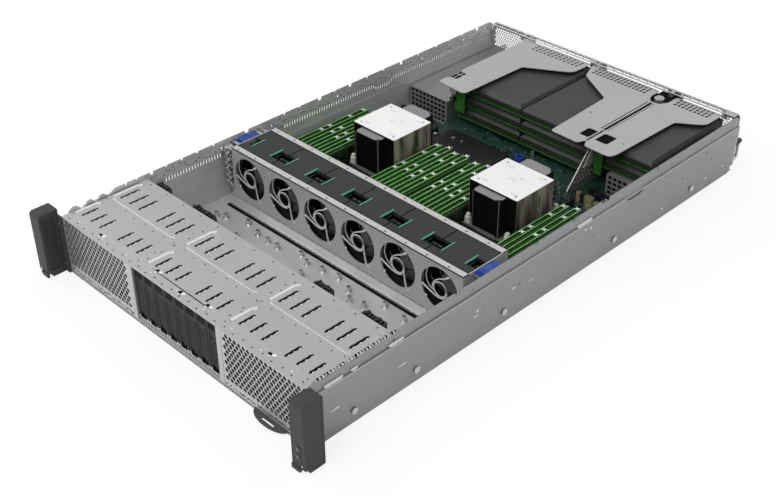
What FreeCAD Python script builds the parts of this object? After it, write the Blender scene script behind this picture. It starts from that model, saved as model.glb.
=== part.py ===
import FreeCAD, Part
import math
import os
from FreeCAD import Vector

# Two-unit rack server with its top cover taken off, in millimetres.
# Modelled with X across the chassis (right seen from the front), Y from the front face to the rear,
# Z up from the underside. The finished pieces are shifted so that the origin is under the middle.

# Chassis tray
body_width = 439.0
body_depth = 768.0
sheet = 1.2
wall_height = 84.0
ledge_height = 68.0
lip_inset = 2.0
rail_recess = 1.2
recess_height = 50.0
front_lip_height = 4.4
corner_notch_depth = 10.0
corner_notch_height = 9.0
lip_notch_width = 6.0
lip_notch_depth = 5.0
lip_notch_shares = [0.039, 0.063, 0.086, 0.365, 0.534, 0.605, 0.758, 0.951]
seat = 0.3
fit = 0.3

# Rack ears
ear_overhang = 21.8
ear_reach = 28.0
ear_height = 87.0
ear_bar_width = 20.0
ear_plate = 2.5
ear_lap = 5.5
ear_panel_depth = 1.3
ear_panel_margin = 6.0
ear_panel_bottom = 9.0
ear_foot_proud = 1.6
ear_foot_height = 5.5
ear_foot_depth = 3.6
ear_foot_width = 7.0
ear_notch = 3.0
ear_chamfer = 1.8
rack_hole_inset = 8.75
rack_hole_margin = 5.4
rack_hole_radius = 3.4
button_radius = 2.6
button_travel = 1.0
button_clearance = 0.2
button_proud = 1.0
button_length = 6.0
button_sides = 12
power_button_height = 30.0
id_button_height = 20.0

# Drive cage
cage_depth = 121.0
cage_sheet = 1.0
cage_top = 79.0
bay_half = 75.0
post_width = 8.0
bay_floor_gap = 0.3

# Cage top plate, three columns of two raised pads with slots
column_spread = 1.5
pad_gap = 19.5
pad_rise = 0.8
pad_corner = 6.0
pad_rows = [(13.5, 51.0), (65.0, 110.0)]
slot_rows = [(18.5, 41.0), (72.0, 100.0)]
slot_shares = [0.143, 0.286, 0.4325]
slot_width = 2.6

# Blank panels with hexagonal vents
vent_across = 20.0
vent_pitch = 24.0
vent_border = 5.0
vent_flange = 9.0

# Information pull tab
tab_width = 52.0
tab_inset = 61.0
tab_plate = 1.6
tab_reach = 11.0
tab_length = 62.0
tab_slot_clearance = 0.4

# Small hot-swap drives
drive_count = 8
drive_recess = 5.0
drive_gap = 0.65
drive_rear_gap = 7.0
drive_height = 69.85
drive_thickness = 15.0
bezel_depth = 9.0
lever_width = 10.0
lever_height = 54.0
lever_depth = 3.6
lever_clearance = 0.3
lever_barrel = 2.2
lever_arm = 2.6

# Drive backplane
plane_gap = 1.2
plane_thickness = 1.6
plane_height = 62.0
plane_side_gap = 2.4
plane_vent_half = 3.0
plane_vent_shares = (0.6, 0.9)
connector_depth = 8.0
connector_rise = 12.0
connector_shares = [(-0.453, -0.408), (-0.292, -0.207), (0.203, 0.257), (0.374, 0.442)]

# Fan cage and fans
fan_count = 6
fan_end_space = 20.0
service_share = 0.15625
fan_cage_top = 80.2
fan_axis_height = 46.0
fan_frame = 4.75
fan_depth = 56.0
fan_rail = 9.0
fan_sheet = 1.2
divider_sheet = 0.8
divider_height = 58.0
fan_cage_clearance = 0.3
fan_foot = 11.0
fan_foot_rise = 3.4
guard_ring = 9.5
guard_width = 1.9
guard_spokes = 4
guard_sweep = 62.0
guard_start = 20.0
guard_ring_sides = 8
bore_sides = 12
fan_side_gap = 0.4
fan_bottom_gap = 0.3
fan_well_width = 16.0
fan_well_length = 22.0
fan_well_depth = 14.0
fan_tab = 2.4
tab_proud = 0.6
hub_radius = 15.0
hub_length = 34.0
hub_start = 8.0
hub_sides = 8
blade_count = 5
blade_tip_gap = 0.8
blade_root_chord = 16.0
blade_tip_chord = 24.0
blade_thickness = 1.6
blade_root_pitch = 52.0
blade_tip_pitch = 32.0
shaft_radius = 1.5
shaft_clearance = 0.06
shaft_sides = 6
shaft_length = 6.0
stator_gap = 0.6
stator_struts = 3
strut_width = 3.0
strut_depth = 5.0
latch_width = 13.5
latch_length = 34.0
latch_thickness = 2.4
latch_curl = 1.5
latch_shelf_drop = 4.0

# Motherboard
board_gap = 6.8
board_thickness = 1.6
board_front_gap = 14.2
board_side_margin = 3.5
board_step_gap = 11.0
board_rear_margin = 12.0
board_rear_inset = 81.5
riser_slot_rise = 2.7
riser_slot_half = 4.0
stud_radius = 3.0
board_stud_shares = [-0.467, -0.239, 0.0, 0.239, 0.467]
board_stud_inset = 6.0
board_rear_stud_inset = 18.0
bay_stud_shares = [(-0.326, 0.79), (-0.264, 0.73), (-0.214, 0.72), (-0.173, 0.72), (-0.097, 0.8),
                   (-0.055, 0.74), (0.0, 0.77), (0.057, 0.8), (0.117, 0.73), (0.235, 0.8), (0.312, 0.78)]
bay_stud_height = 7.0

# Rear input and output ports: middles as shares of the board's half width there, widths and heights
port_shares = [-0.855, -0.52, -0.365, -0.075, 0.175, 0.31, 0.445]
port_sizes = [(30.0, 12.0), (16.0, 12.5), (16.0, 12.5), (31.0, 11.0), (14.0, 13.0), (14.0, 13.0), (14.0, 13.0)]
port_depth = 11.0
port_foot = 1.2
port_clearance = 0.5

# Processors and heat sinks
socket_height = 7.6
socket_wall = 4.0
heatsink_shares = [-0.2437, 0.2301]
heatsink_setback = 41.0
heatsink_length = 105.0
heatsink_width_share = 0.1731
heatsink_front_neck = 13.0
heatsink_rear_neck = 22.0
heatsink_neck_share = 0.4475
heatsink_top = 77.0
heatsink_base = 5.0
heatsink_cap = 1.0
fin_count = 9
fin_thickness = 1.0
neck_drop = 3.0
nut_radius = 4.6
nut_height = 16.0
nut_inset = 6.0

# Memory
memory_group_shares = [-0.41, -0.0843, 0.0718, 0.4055]
modules_per_group = 8
module_pitch_share = 0.018
module_length = 133.35
module_height = 31.25
module_thickness = 1.4
memory_gap = 34.2
socket_width = 6.4
socket_rise = 8.6
socket_groove = 6.0
groove_clearance = 0.2
socket_end = 1.0
memory_latch_gap = 0.5
memory_latch_width = 4.6
memory_latch_rise = 21.0
memory_latch_depth = 6.0

# Power supplies
psu_width = 73.5
psu_height = 39.0
psu_length = 185.0
psu_side_gap = 2.4
psu_floor_gap = 0.3
psu_panel_gap = 0.6
psu_grille_columns = 3
psu_grille_rows = 2
psu_grille_border = 5.0
psu_grille_bar = 2.2
psu_grille_depth = 4.0
psu_fan_radius = 16.5
psu_fan_depth = 5.0
inlet_width = 28.0
inlet_height = 21.0
inlet_depth = 14.0
pin_width = 2.0
pin_height = 6.0
pin_length = 11.0
pin_spread = 7.0
pin_rise = 2.0
handle_reach = 24.0
handle_bar = 4.0
handle_width = 7.0
handle_drop = 3.0
psu_latch_width = 8.0
psu_latch_height = 15.0
psu_latch_reach = 12.0

# Risers and expansion cards
riser_top = 81.2
riser_sheet = 1.2
riser_board = 1.6
riser_board_foot = 3.0
riser_apron = 20.0
riser_end_gap = 35.0
riser_nose_share = 0.7285
riser_wall_share = 0.7044
card_length = 166.0
card_rear_gap = 12.0
card_pitch = 20.32
card_thickness = 14.5
card_cover = 12.5
card_drop = 4.0
card_board = 1.6
card_edge = 4.0
card_cover_setback = 3.0
left_plate_lap = 6.0
left_wall_inset = 85.5
card_width_share = 0.459
middle_wall_inset = 109.5
right_card_width = 84.0
riser_wall_gap = 4.0
riser_wall_foot = 18.0
riser_brow_gap = 4.0
riser_window = 15.0
riser_window_length = 22.0
riser_window_gap = 8.0
riser_window_edge = 3.0
riser_step_width = 14.0
riser_slot_setback = 20.0
riser_vent_width = 5.0
riser_vent_pitch = 10.0
riser_vent_length = 14.0
riser_vent_gap = 20.0
riser_vent_margin = 6.0

# Riser plate outlines: shares of a card stack's width from its wall, and of the way from the nose to
# the rear edge
left_front_shares = [(0.366, 0.0), (0.406, 0.018), (0.435, 0.614), (0.851, 0.753), (0.955, 0.791),
                    (0.996, 0.827), (1.009, 1.0)]
left_step_shares = (0.252, 0.242, 0.125, 0.118, 0.02)
right_front_shares = [(0.452, 0.005), (0.548, 0.008), (0.595, 0.059), (0.638, 0.685), (0.952, 0.776),
                     (1.036, 0.812), (1.043, 1.0)]
right_wall_shares = [(-1.134, 1.0), (-1.021, 0.829), (-0.48, 0.641), (-0.437, 0.019)]
knob_radius = 7.0
knob_height = 7.0
knob_screw_radius = 2.0
knob_screw_length = 12.0
knob_clearance = 0.3
knob_gap = 22.0
knob_sides = 12
knob_notch_share = 0.87

# Rear panel
panel_sheet = 1.2
panel_flange = 6.0
slot_inset = 6.0
slot_wall_gap = 2.0
right_slot_gap = 15.0
right_slot_trim = 23.0
slot_opening_top = 81.0
slot_opening_bottom = 25.0
panel_vent_margin = 5.1
panel_vent_bottom = 46.0
panel_vent_top = 76.0

# Rail studs on the side walls
rail_stud_shares = [0.078, 0.196, 0.38, 0.648, 0.866]
rail_stud_sides = 6
rail_stud_height = 16.0
rail_stud_shank = 2.4
rail_stud_head = 4.2
rail_stud_reach = 1.1
rail_stud_cap = 1.0

half_width = body_width / 2
wall_outer = half_width - rail_recess
wall_inner = wall_outer - sheet
lip_outer = half_width - lip_inset
lip_inner = lip_outer - sheet
rack_width = body_width + ear_overhang * 2
front_extent = ear_reach
rear_extent = body_depth + handle_reach
middle = (rear_extent - front_extent) / 2
panel_front = body_depth - panel_sheet
cage_half = lip_inner - fit
drive_length = cage_depth - drive_recess - bezel_depth - drive_rear_gap
column_pitch = cage_half * 2 / 3 + column_spread
pad_width = column_pitch - pad_gap
tab_centre = half_width - tab_inset
service_depth = body_depth * service_share
fan_cage_front = cage_depth + service_depth
fan_pitch = (body_width - fan_end_space * 2) / fan_count
fan_opening = fan_pitch / 2 - fan_frame
fan_inner_front = fan_cage_front + fan_rail
fan_cage_back = fan_inner_front + fan_depth + fan_side_gap * 2 + fan_rail
board_bottom = sheet + board_gap
board_top = board_bottom + board_thickness
board_front = fan_cage_back + board_front_gap
board_step = body_depth - psu_length - board_step_gap
board_rear = panel_front - board_rear_margin
board_rear_half = half_width - board_rear_inset
memory_front = fan_cage_back + memory_gap
heatsink_front = memory_front + heatsink_setback
heatsink_rear = heatsink_front + heatsink_length
heatsink_width = body_width * heatsink_width_share
heatsink_neck = heatsink_width * heatsink_neck_share
heatsink_middle = (heatsink_front + heatsink_front_neck, heatsink_rear - heatsink_rear_neck)
heatsink_places = [body_width * share for share in heatsink_shares]
card_rear = body_depth - card_rear_gap
card_front = card_rear - card_length
riser_end = card_rear - riser_end_gap
riser_nose = body_depth * riser_nose_share
riser_wall_front = body_depth * riser_wall_share
riser_foot = board_top + riser_board_foot
riser_low = psu_height + sheet * 3
knob_place = card_rear - knob_gap
left_wall_x = left_wall_inset - half_width
middle_wall_x = half_width - middle_wall_inset
stack_width = (middle_wall_x - left_wall_x) * card_width_share
slot_openings = [(left_wall_x + slot_wall_gap, left_wall_x + slot_wall_gap + stack_width - slot_inset),
                 (middle_wall_x - stack_width + slot_wall_gap, middle_wall_x - slot_inset),
                 (middle_wall_x + riser_wall_gap + right_slot_gap,
                  middle_wall_x + riser_wall_gap + right_slot_gap + right_card_width - right_slot_trim)]


def block(x, y, z):
    return Part.makeBox(x[1] - x[0], y[1] - y[0], z[1] - z[0], Vector(x[0], y[0], z[0]))


def fuse(shapes):
    return shapes[0].multiFuse(shapes[1:]).removeSplitter()


def cut(shape, tools):
    return shape.cut(Part.makeCompound(tools))


def place(a, b, axis, level):
    if axis == "X":
        return Vector(level, a, b)
    if axis == "Y":
        return Vector(a, level, b)
    return Vector(a, b, level)


def span(axis, length):
    return {"X": Vector(length, 0, 0), "Y": Vector(0, length, 0), "Z": Vector(0, 0, length)}[axis]


def prism(points, axis, low, high):
    # A straight-sided body from an outline drawn across the given axis.
    corners = [place(a, b, axis, low) for a, b in points]
    wire = Part.makePolygon(corners + corners[:1])
    return Part.Face(wire).extrude(span(axis, high - low))


def perforated(outline, holes, axis, low, high):
    # A flat sheet with many polygonal holes, cut by drawing them in one face.
    wires = []
    for points in [outline] + holes:
        corners = [place(a, b, axis, low) for a, b in points]
        wires.append(Part.makePolygon(corners + corners[:1]))
    face = Part.makeFace(wires, "Part::FaceMakerBullseye")
    return face.extrude(span(axis, high - low))


def rectangle(a, b):
    return [(a[0], b[0]), (a[1], b[0]), (a[1], b[1]), (a[0], b[1])]


def cylinder(radius, axis, base, length):
    return Part.makeCylinder(radius, length, Vector(*base), span(axis, 1))


def mirror_x(shape):
    return shape.mirror(Vector(0, 0, 0), Vector(1, 0, 0))


def around(a, b, radius, sides):
    return [(a + radius * math.cos(2 * math.pi * k / sides), b + radius * math.sin(2 * math.pi * k / sides))
            for k in range(sides)]


def faceted(lower, upper):
    # A thin twisted solid between two outlines, its sides split into flat triangles. The second half of
    # the outline is split the other way, so that its two broad sides bend alike.
    faces = [Part.Face(Part.makePolygon(lower + lower[:1])), Part.Face(Part.makePolygon(upper + upper[:1]))]
    count = len(lower)
    for k in range(count):
        a, b = lower[k], lower[(k + 1) % count]
        c, d = upper[k], upper[(k + 1) % count]
        corners = [[a, b, d], [a, d, c]] if k < count / 2 else [[a, b, c], [b, d, c]]
        faces += [Part.Face(Part.makePolygon(three + three[:1])) for three in corners]
    shell = Part.makeShell(faces)
    shell.sewShape()
    solid = Part.makeSolid(shell)
    if solid.Volume < 0:
        solid.reverse()
    return solid


def hexagon(a, b, across):
    radius = across / math.sqrt(3)
    return [(a + radius * math.cos(math.radians(60 * k + 30)),
             b + radius * math.sin(math.radians(60 * k + 30))) for k in range(6)]


def hexagon_field(a, b, across, pitch):
    # Close-packed hexagons that fit inside the ranges a and b, centred in both.
    row_step = pitch * math.sqrt(3) / 2
    columns = int((a[1] - a[0] - across) / pitch) + 1
    rows = int((b[1] - b[0] - across * 2 / math.sqrt(3)) / row_step) + 1
    start_a = (a[0] + a[1] - (columns - 1) * pitch) / 2
    start_b = (b[0] + b[1] - (rows - 1) * row_step) / 2
    field = []
    for row in range(rows):
        odd = row % 2
        for column in range(columns - odd):
            field.append(hexagon(start_a + (column + odd / 2) * pitch, start_b + row * row_step, across))
    return field


# Chassis
def tray_section():
    right = [(wall_outer, 0), (wall_outer, recess_height - rail_recess), (half_width, recess_height),
             (half_width, ledge_height), (lip_outer, ledge_height), (lip_outer, wall_height),
             (lip_inner, wall_height), (lip_inner, ledge_height - sheet),
             (half_width - sheet, ledge_height - sheet), (half_width - sheet, recess_height),
             (wall_inner, recess_height - rail_recess), (wall_inner, sheet)]
    left = [(-x, z) for x, z in reversed(right)]
    return right + left


def chassis_base():
    tray = prism(tray_section(), "Y", 0, panel_front)
    lip = block((-wall_inner, wall_inner), (0, sheet), (sheet, front_lip_height))
    tray = fuse([tray, lip])
    half_tab = tab_width / 2 + tab_slot_clearance
    tools = [block((tab_centre - half_tab, tab_centre + half_tab), (-1, sheet),
                   (sheet, front_lip_height))]
    for side in (-1, 1):
        wall = sorted([side * (lip_inner - 1), side * (half_width + 1)])
        for share in lip_notch_shares:
            y = body_depth * share
            tools.append(block(wall, (y - lip_notch_width / 2, y + lip_notch_width / 2),
                               (wall_height - lip_notch_depth, wall_height + 1)))
        tools.append(block(wall, (panel_front - corner_notch_depth, body_depth), (-1, corner_notch_height)))
    return cut(tray, tools)


def rear_panel():
    # Openings: expansion slots, the two power supply bays, the port row and a hexagonal vent.
    right = [(lip_inner - 1, 0), (lip_inner - 1, corner_notch_height), (wall_outer, corner_notch_height),
             (wall_outer, recess_height - rail_recess), (half_width, recess_height),
             (half_width, ledge_height), (lip_outer, ledge_height), (lip_outer, wall_height)]
    outline = right + [(-x, z) for x, z in reversed(right)]
    psu_roof = sheet + psu_floor_gap + psu_height + psu_panel_gap
    holes = []
    for across in slot_openings[:2]:
        holes.append(rectangle(across, (slot_opening_bottom, slot_opening_top)))
    holes.append(rectangle(slot_openings[2], (psu_roof + panel_sheet * 2, slot_opening_top)))
    for share, (width, height) in zip(port_shares, port_sizes):
        x = board_rear_half * share
        half = width / 2 + port_clearance
        foot = board_top + port_foot
        holes.append(rectangle((x - half, x + half),
                               (foot - port_clearance, foot + height + port_clearance)))
    holes += hexagon_field((panel_vent_margin - wall_inner, slot_openings[0][0] - vent_border),
                           (panel_vent_bottom, panel_vent_top), vent_across, vent_pitch)
    panel = perforated(outline, holes, "Y", panel_front, body_depth)
    bays = []
    for side in (-1, 1):
        outer = wall_inner - psu_side_gap + psu_panel_gap
        inner = outer - psu_width - psu_panel_gap * 2
        bays.append(block(sorted([side * inner, side * outer]), (panel_front - 1, body_depth + 1),
                          (-1, psu_roof)))
    flange = block((-lip_inner + seat, lip_inner - seat), (panel_front - panel_flange, panel_front),
                   (wall_height - panel_sheet, wall_height))
    return fuse([cut(panel, bays), flange])


def studs():
    # Standoffs under the board, studs in the open bay and the rail studs on the walls.
    bodies = []
    columns = [body_width * share for share in board_stud_shares]
    rows = (board_front + board_stud_inset, board_step - board_stud_inset * 2)
    places = [(x, y) for x in columns for y in rows]
    rear_x = board_rear_half - board_rear_stud_inset
    places += [(x, board_rear - board_rear_stud_inset) for x in (-rear_x, 0, rear_x)]
    for x, y in places:
        bodies.append(prism(around(x, y, stud_radius, 6), "Z", sheet, board_bottom))
    for share_x, share_y in bay_stud_shares:
        x = body_width * share_x
        y = cage_depth + service_depth * share_y
        bodies.append(prism(around(x, y, stud_radius, 6), "Z", sheet, sheet + bay_stud_height))
    neck = wall_outer + rail_stud_reach
    shank = prism(around(0, 0, rail_stud_shank, rail_stud_sides), "X", wall_outer, neck)
    head = prism(around(0, 0, rail_stud_head, rail_stud_sides), "X", neck, neck + rail_stud_cap)
    stud = fuse([shank, head])
    for share in rail_stud_shares:
        right = stud.translated(Vector(0, body_depth * share, rail_stud_height))
        bodies += [right, mirror_x(right)]
    return Part.makeCompound(bodies)


def rack_ear(side):
    # A grip bar in front of the rack post, with a shallow panel in its inner face and a foot that
    # stands out below, on a plate that laps the chassis front.
    outer = rack_width / 2
    inner = outer - ear_bar_width
    face = ear_foot_proud - ear_reach
    profile = [(face, ear_foot_height), (face, ear_height - ear_chamfer), (face + ear_chamfer, ear_height),
               (0, ear_height), (0, 0), (face + ear_notch, 0), (face + ear_notch, ear_foot_height)]
    bar = prism(profile, "X", inner, outer)
    foot = block((inner, inner + ear_foot_width), (-ear_reach, ear_foot_depth - ear_reach),
                 (0, ear_foot_height + ear_foot_proud))
    plate = block((half_width - ear_lap, inner), (-ear_plate, 0), (0, ear_height))
    tools = [block((inner - 1, inner + ear_panel_depth),
                   (ear_panel_margin - ear_reach, -ear_panel_margin),
                   (ear_panel_bottom, ear_height - ear_panel_margin))]
    for z in (rack_hole_margin, ear_height - rack_hole_margin):
        tools.append(cylinder(rack_hole_radius, "Y", (outer - rack_hole_inset, -ear_reach * 1.5, z),
                              ear_reach * 2))
    if side > 0:
        for z in (power_button_height, id_button_height):
            hole = around(button_place(), z, button_radius + button_clearance, button_sides)
            tools.append(prism(hole, "Y", face - 1, face - button_proud + button_length + button_travel))
    solid = cut(fuse([bar, foot, plate]), tools)
    return solid if side > 0 else mirror_x(solid)


def button_place():
    return (rack_width - ear_bar_width) / 2


def ear_button(height):
    # A round key standing out of its hole in the right ear.
    front = ear_foot_proud - ear_reach - button_proud
    outline = around(button_place(), height, button_radius, button_sides)
    return prism(outline, "Y", front, front + button_length)


# Drive cage
def drive_cage():
    side = cage_half
    floor = (front_lip_height, front_lip_height + cage_sheet)
    walls = (sheet, cage_top - cage_sheet)
    deck = block((-side, side), (0, cage_depth), floor)
    pieces = [deck]
    for sign in (-1, 1):
        for low, high in ((side - cage_sheet, side), (bay_half, bay_half + cage_sheet),
                          (bay_half + post_width - cage_sheet, bay_half + post_width)):
            pieces.append(block(sorted([sign * low, sign * high]), (sheet, cage_depth), walls))
        pieces.append(block(sorted([sign * bay_half, sign * (bay_half + post_width)]), (0, cage_sheet),
                            (front_lip_height, cage_top - cage_sheet)))
        pieces.append(block(sorted([sign * (side - cage_sheet), sign * side]), (0, sheet),
                            (front_lip_height, cage_top - cage_sheet)))
    return fuse(pieces)


def clipped_pad(x, y, z, clip):
    pad = block(x, y, z)
    edges = [e for e in pad.Edges if abs(e.tangentAt(e.FirstParameter).z) > 0.9]
    return pad.makeChamfer(clip, edges)


def cage_top_plate():
    side = cage_half
    plate = block((-side, side), (0, cage_depth), (cage_top - cage_sheet, cage_top))
    pads = []
    slots = []
    for column in (-1, 0, 1):
        centre = column * column_pitch
        for y in pad_rows:
            pads.append(clipped_pad((centre - pad_width / 2, centre + pad_width / 2), y,
                                    (cage_top, cage_top + pad_rise), pad_corner))
        for y in slot_rows:
            for share in slot_shares:
                for x in (centre - pad_width * share, centre + pad_width * share):
                    slots.append(block((x - slot_width / 2, x + slot_width / 2), y,
                                       (cage_top - cage_sheet * 2, cage_top + pad_rise + 1)))
    return cut(fuse([plate] + pads), slots)


def vent_panel():
    # A shallow pan with a hexagonal grille, pressed into the right-hand bay.
    low = bay_half + post_width + bay_floor_gap
    high = cage_half - cage_sheet - bay_floor_gap
    bottom = front_lip_height + cage_sheet
    top = cage_top - cage_sheet - bay_floor_gap
    field = hexagon_field((low + vent_border, high - vent_border),
                          (bottom + vent_border, top - vent_border), vent_across, vent_pitch)
    face = perforated(rectangle((low, high), (bottom, top)), field, "Y", 0, sheet)
    sides = [block((low, low + sheet), (sheet, vent_flange), (bottom, top)),
             block((high - sheet, high), (sheet, vent_flange), (bottom, top)),
             block((low + sheet, high - sheet), (sheet, vent_flange), (bottom, bottom + sheet)),
             block((low + sheet, high - sheet), (sheet, vent_flange), (top - sheet, top))]
    return fuse([face] + sides)


def vent_panels():
    panel = vent_panel()
    return Part.makeCompound([panel, mirror_x(panel)])


def info_tab():
    # A flat tray with a rounded front that slides out under the right-hand bay.
    half = tab_width / 2
    low = sheet + (front_lip_height - sheet - tab_plate) / 2
    left, right = tab_centre - half, tab_centre + half
    back = Part.makePolygon([Vector(right, 0, low), Vector(right, tab_length, low),
                             Vector(left, tab_length, low), Vector(left, 0, low)])
    nose = Part.Arc(Vector(left, 0, low), Vector(tab_centre, -tab_reach, low), Vector(right, 0, low))
    body = Part.Face(Part.Wire(back.Edges + [nose.toShape()])).extrude(Vector(0, 0, tab_plate))
    finger = block((tab_centre - tab_width / 5, tab_centre + tab_width / 5),
                   (-tab_reach / 2 - 1, -tab_reach / 2 + 1), (low - 1, low + tab_plate + 1))
    return body.cut(finger)


# Drives
def drive_places():
    pitch = bay_half * 2 / drive_count
    return [(i - (drive_count - 1) / 2) * pitch for i in range(drive_count)]


def drive(x):
    # Carrier bezel with vents and a lever pocket, two carrier rails and the drive between them.
    half = bay_half / drive_count - drive_gap / 2
    bottom = front_lip_height + cage_sheet + bay_floor_gap
    top = cage_top - cage_sheet - bay_floor_gap
    bezel_back = drive_recess + bezel_depth
    bezel = block((x - half, x + half), (drive_recess, bezel_back), (bottom, top))
    pocket_half = lever_width / 2 + lever_clearance
    pocket = block((x - pocket_half, x + pocket_half),
                   (drive_recess - 1, drive_recess + lever_depth + lever_clearance),
                   (bottom + lever_barrel, bottom + lever_barrel + lever_height + lever_clearance * 2))
    vent = block((x - lever_width / 2, x + lever_width / 2),
                 (drive_recess - 1, drive_recess + bezel_depth / 2),
                 (bottom + lever_barrel * 2 + lever_height, top - lever_barrel))
    body_bottom = (bottom + top - drive_height) / 2
    body = block((x - drive_thickness / 2, x + drive_thickness / 2),
                 (bezel_back, bezel_back + drive_length), (body_bottom, body_bottom + drive_height))
    rails = []
    for z in ((bottom, bottom + drive_thickness), (top - drive_thickness, top)):
        rails.append(block((x - half, x + half), (bezel_back, bezel_back + drive_length), z))
    return fuse([cut(bezel, [pocket, vent]), body] + rails)


def drive_lever(x):
    # A flat lever that turns on a barrel at its foot, with a finger catch at the top.
    bottom = front_lip_height + cage_sheet + bay_floor_gap
    foot = bottom + lever_barrel + lever_clearance
    front = drive_recess
    axis_y = front + lever_depth / 2
    axis_z = foot + lever_barrel
    barrel = [(axis_y + lever_depth / 2 * math.cos(angle), axis_z + lever_depth / 2 * math.sin(angle))
              for angle in (math.radians(180 + 45 * k) for k in range(5))]
    top = foot + lever_height
    outline = barrel + [(front + lever_arm, axis_z + lever_barrel), (front + lever_arm, top), (front, top)]
    return prism(outline, "X", x - lever_width / 2, x + lever_width / 2)


def drive_backplane():
    side = wall_inner - plane_side_gap
    y = cage_depth + plane_gap
    bottom = sheet + seat
    board = block((-side, side), (y, y + plane_thickness), (bottom, bottom + plane_height))
    vents = []
    for x in drive_places()[::2]:
        vents.append(block((x - plane_vent_half, x + plane_vent_half), (y - 1, y + plane_thickness + 1),
                           [bottom + plane_height * share for share in plane_vent_shares]))
    pieces = [cut(board, vents)]
    for low, high in [(body_width * a, body_width * b) for a, b in connector_shares]:
        pieces.append(block((low, high), (y + plane_thickness, y + plane_thickness + connector_depth),
                            (bottom + plane_height - connector_rise / 2,
                             bottom + plane_height + connector_rise)))
        pieces.append(block((low + plane_thickness, high - plane_thickness), (y, y + plane_thickness),
                            (bottom + plane_height, bottom + plane_height + connector_rise / 2)))
    return fuse(pieces)


# Fans
def fan_places():
    return [(i - (fan_count - 1) / 2) * fan_pitch for i in range(fan_count)]


def fan_cage_half():
    return fan_count * fan_pitch / 2 + fan_sheet


def polar(x, radius, angle):
    return (x + radius * math.cos(angle), fan_axis_height + radius * math.sin(angle))


def swirl_windows(x):
    # The holes of one finger guard: a centre hole and the gaps between the swept spokes.
    sweep = math.radians(guard_sweep)
    step = 2 * math.pi / guard_spokes
    radii = [guard_ring + (fan_opening - guard_ring) * share for share in (0, 0.5, 1)]

    def spoke(radius, shift):
        share = (radius - guard_ring) / (fan_opening - guard_ring)
        return sweep * share ** 0.8 + shift / radius

    windows = [around(x, fan_axis_height, guard_ring - guard_width, guard_ring_sides)]
    for k in range(guard_spokes):
        start = math.radians(guard_start) + step * k
        out = [(r, start + spoke(r, guard_width / 2)) for r in radii]
        back = [(r, start + step + spoke(r, -guard_width / 2)) for r in reversed(radii)]
        rim = [(fan_opening, (out[-1][1] + back[0][1]) / 2)]
        hub = [(guard_ring, back[-1][1] + (out[0][1] - back[-1][1]) * 0.5)]
        windows.append([polar(x, radius, angle) for radius, angle in out + rim + back + hub])
    return windows


def fan_cage():
    half = fan_cage_half()
    bottom = sheet + fan_cage_clearance
    back = fan_cage_back
    outline = rectangle((-half, half), (bottom, fan_cage_top))
    windows = []
    rear_openings = []
    for x in fan_places():
        windows += swirl_windows(x)
        rear_openings.append(rectangle((x - fan_opening, x + fan_opening),
                                       (fan_axis_height - fan_opening, fan_axis_height + fan_opening)))
    pieces = [perforated(outline, windows, "Y", fan_cage_front, fan_cage_front + fan_sheet),
              perforated(outline, rear_openings, "Y", back - fan_sheet, back)]
    inside = (fan_cage_front + fan_sheet, back - fan_sheet)
    pieces.append(block((-half, half), inside, (bottom, bottom + fan_sheet)))
    for sign in (-1, 1):
        pieces.append(block(sorted([sign * (half - fan_sheet), sign * half]), inside,
                            (bottom, fan_cage_top)))
        shelf = (half, half + latch_width + fan_side_gap)
        shelf_y = latch_range()
        pieces.append(block(sorted([sign * shelf[0], sign * shelf[1]]), shelf_y,
                            (fan_cage_top - latch_shelf_drop - fan_sheet, fan_cage_top - latch_shelf_drop)))
    for i in range(fan_count - 1):
        x = fan_places()[i] + fan_pitch / 2
        pieces.append(block((x - divider_sheet / 2, x + divider_sheet / 2), inside,
                            (bottom, bottom + divider_height)))
    rail = (fan_cage_top - fan_sheet, fan_cage_top)
    pieces.append(block((-half, half), (fan_cage_front, fan_cage_front + fan_rail), rail))
    pieces.append(block((-half, half), (back - fan_rail, back), rail))
    foot = [(fan_cage_front, bottom), (fan_cage_front, bottom + fan_foot_rise),
            (fan_cage_front - fan_foot + fan_foot_rise, bottom + fan_foot_rise),
            (fan_cage_front - fan_foot, bottom)]
    pieces.append(prism(foot, "X", -half, half))
    return fuse(pieces)


def module_depth():
    start = fan_inner_front + fan_side_gap
    return start, start + fan_depth


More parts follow.
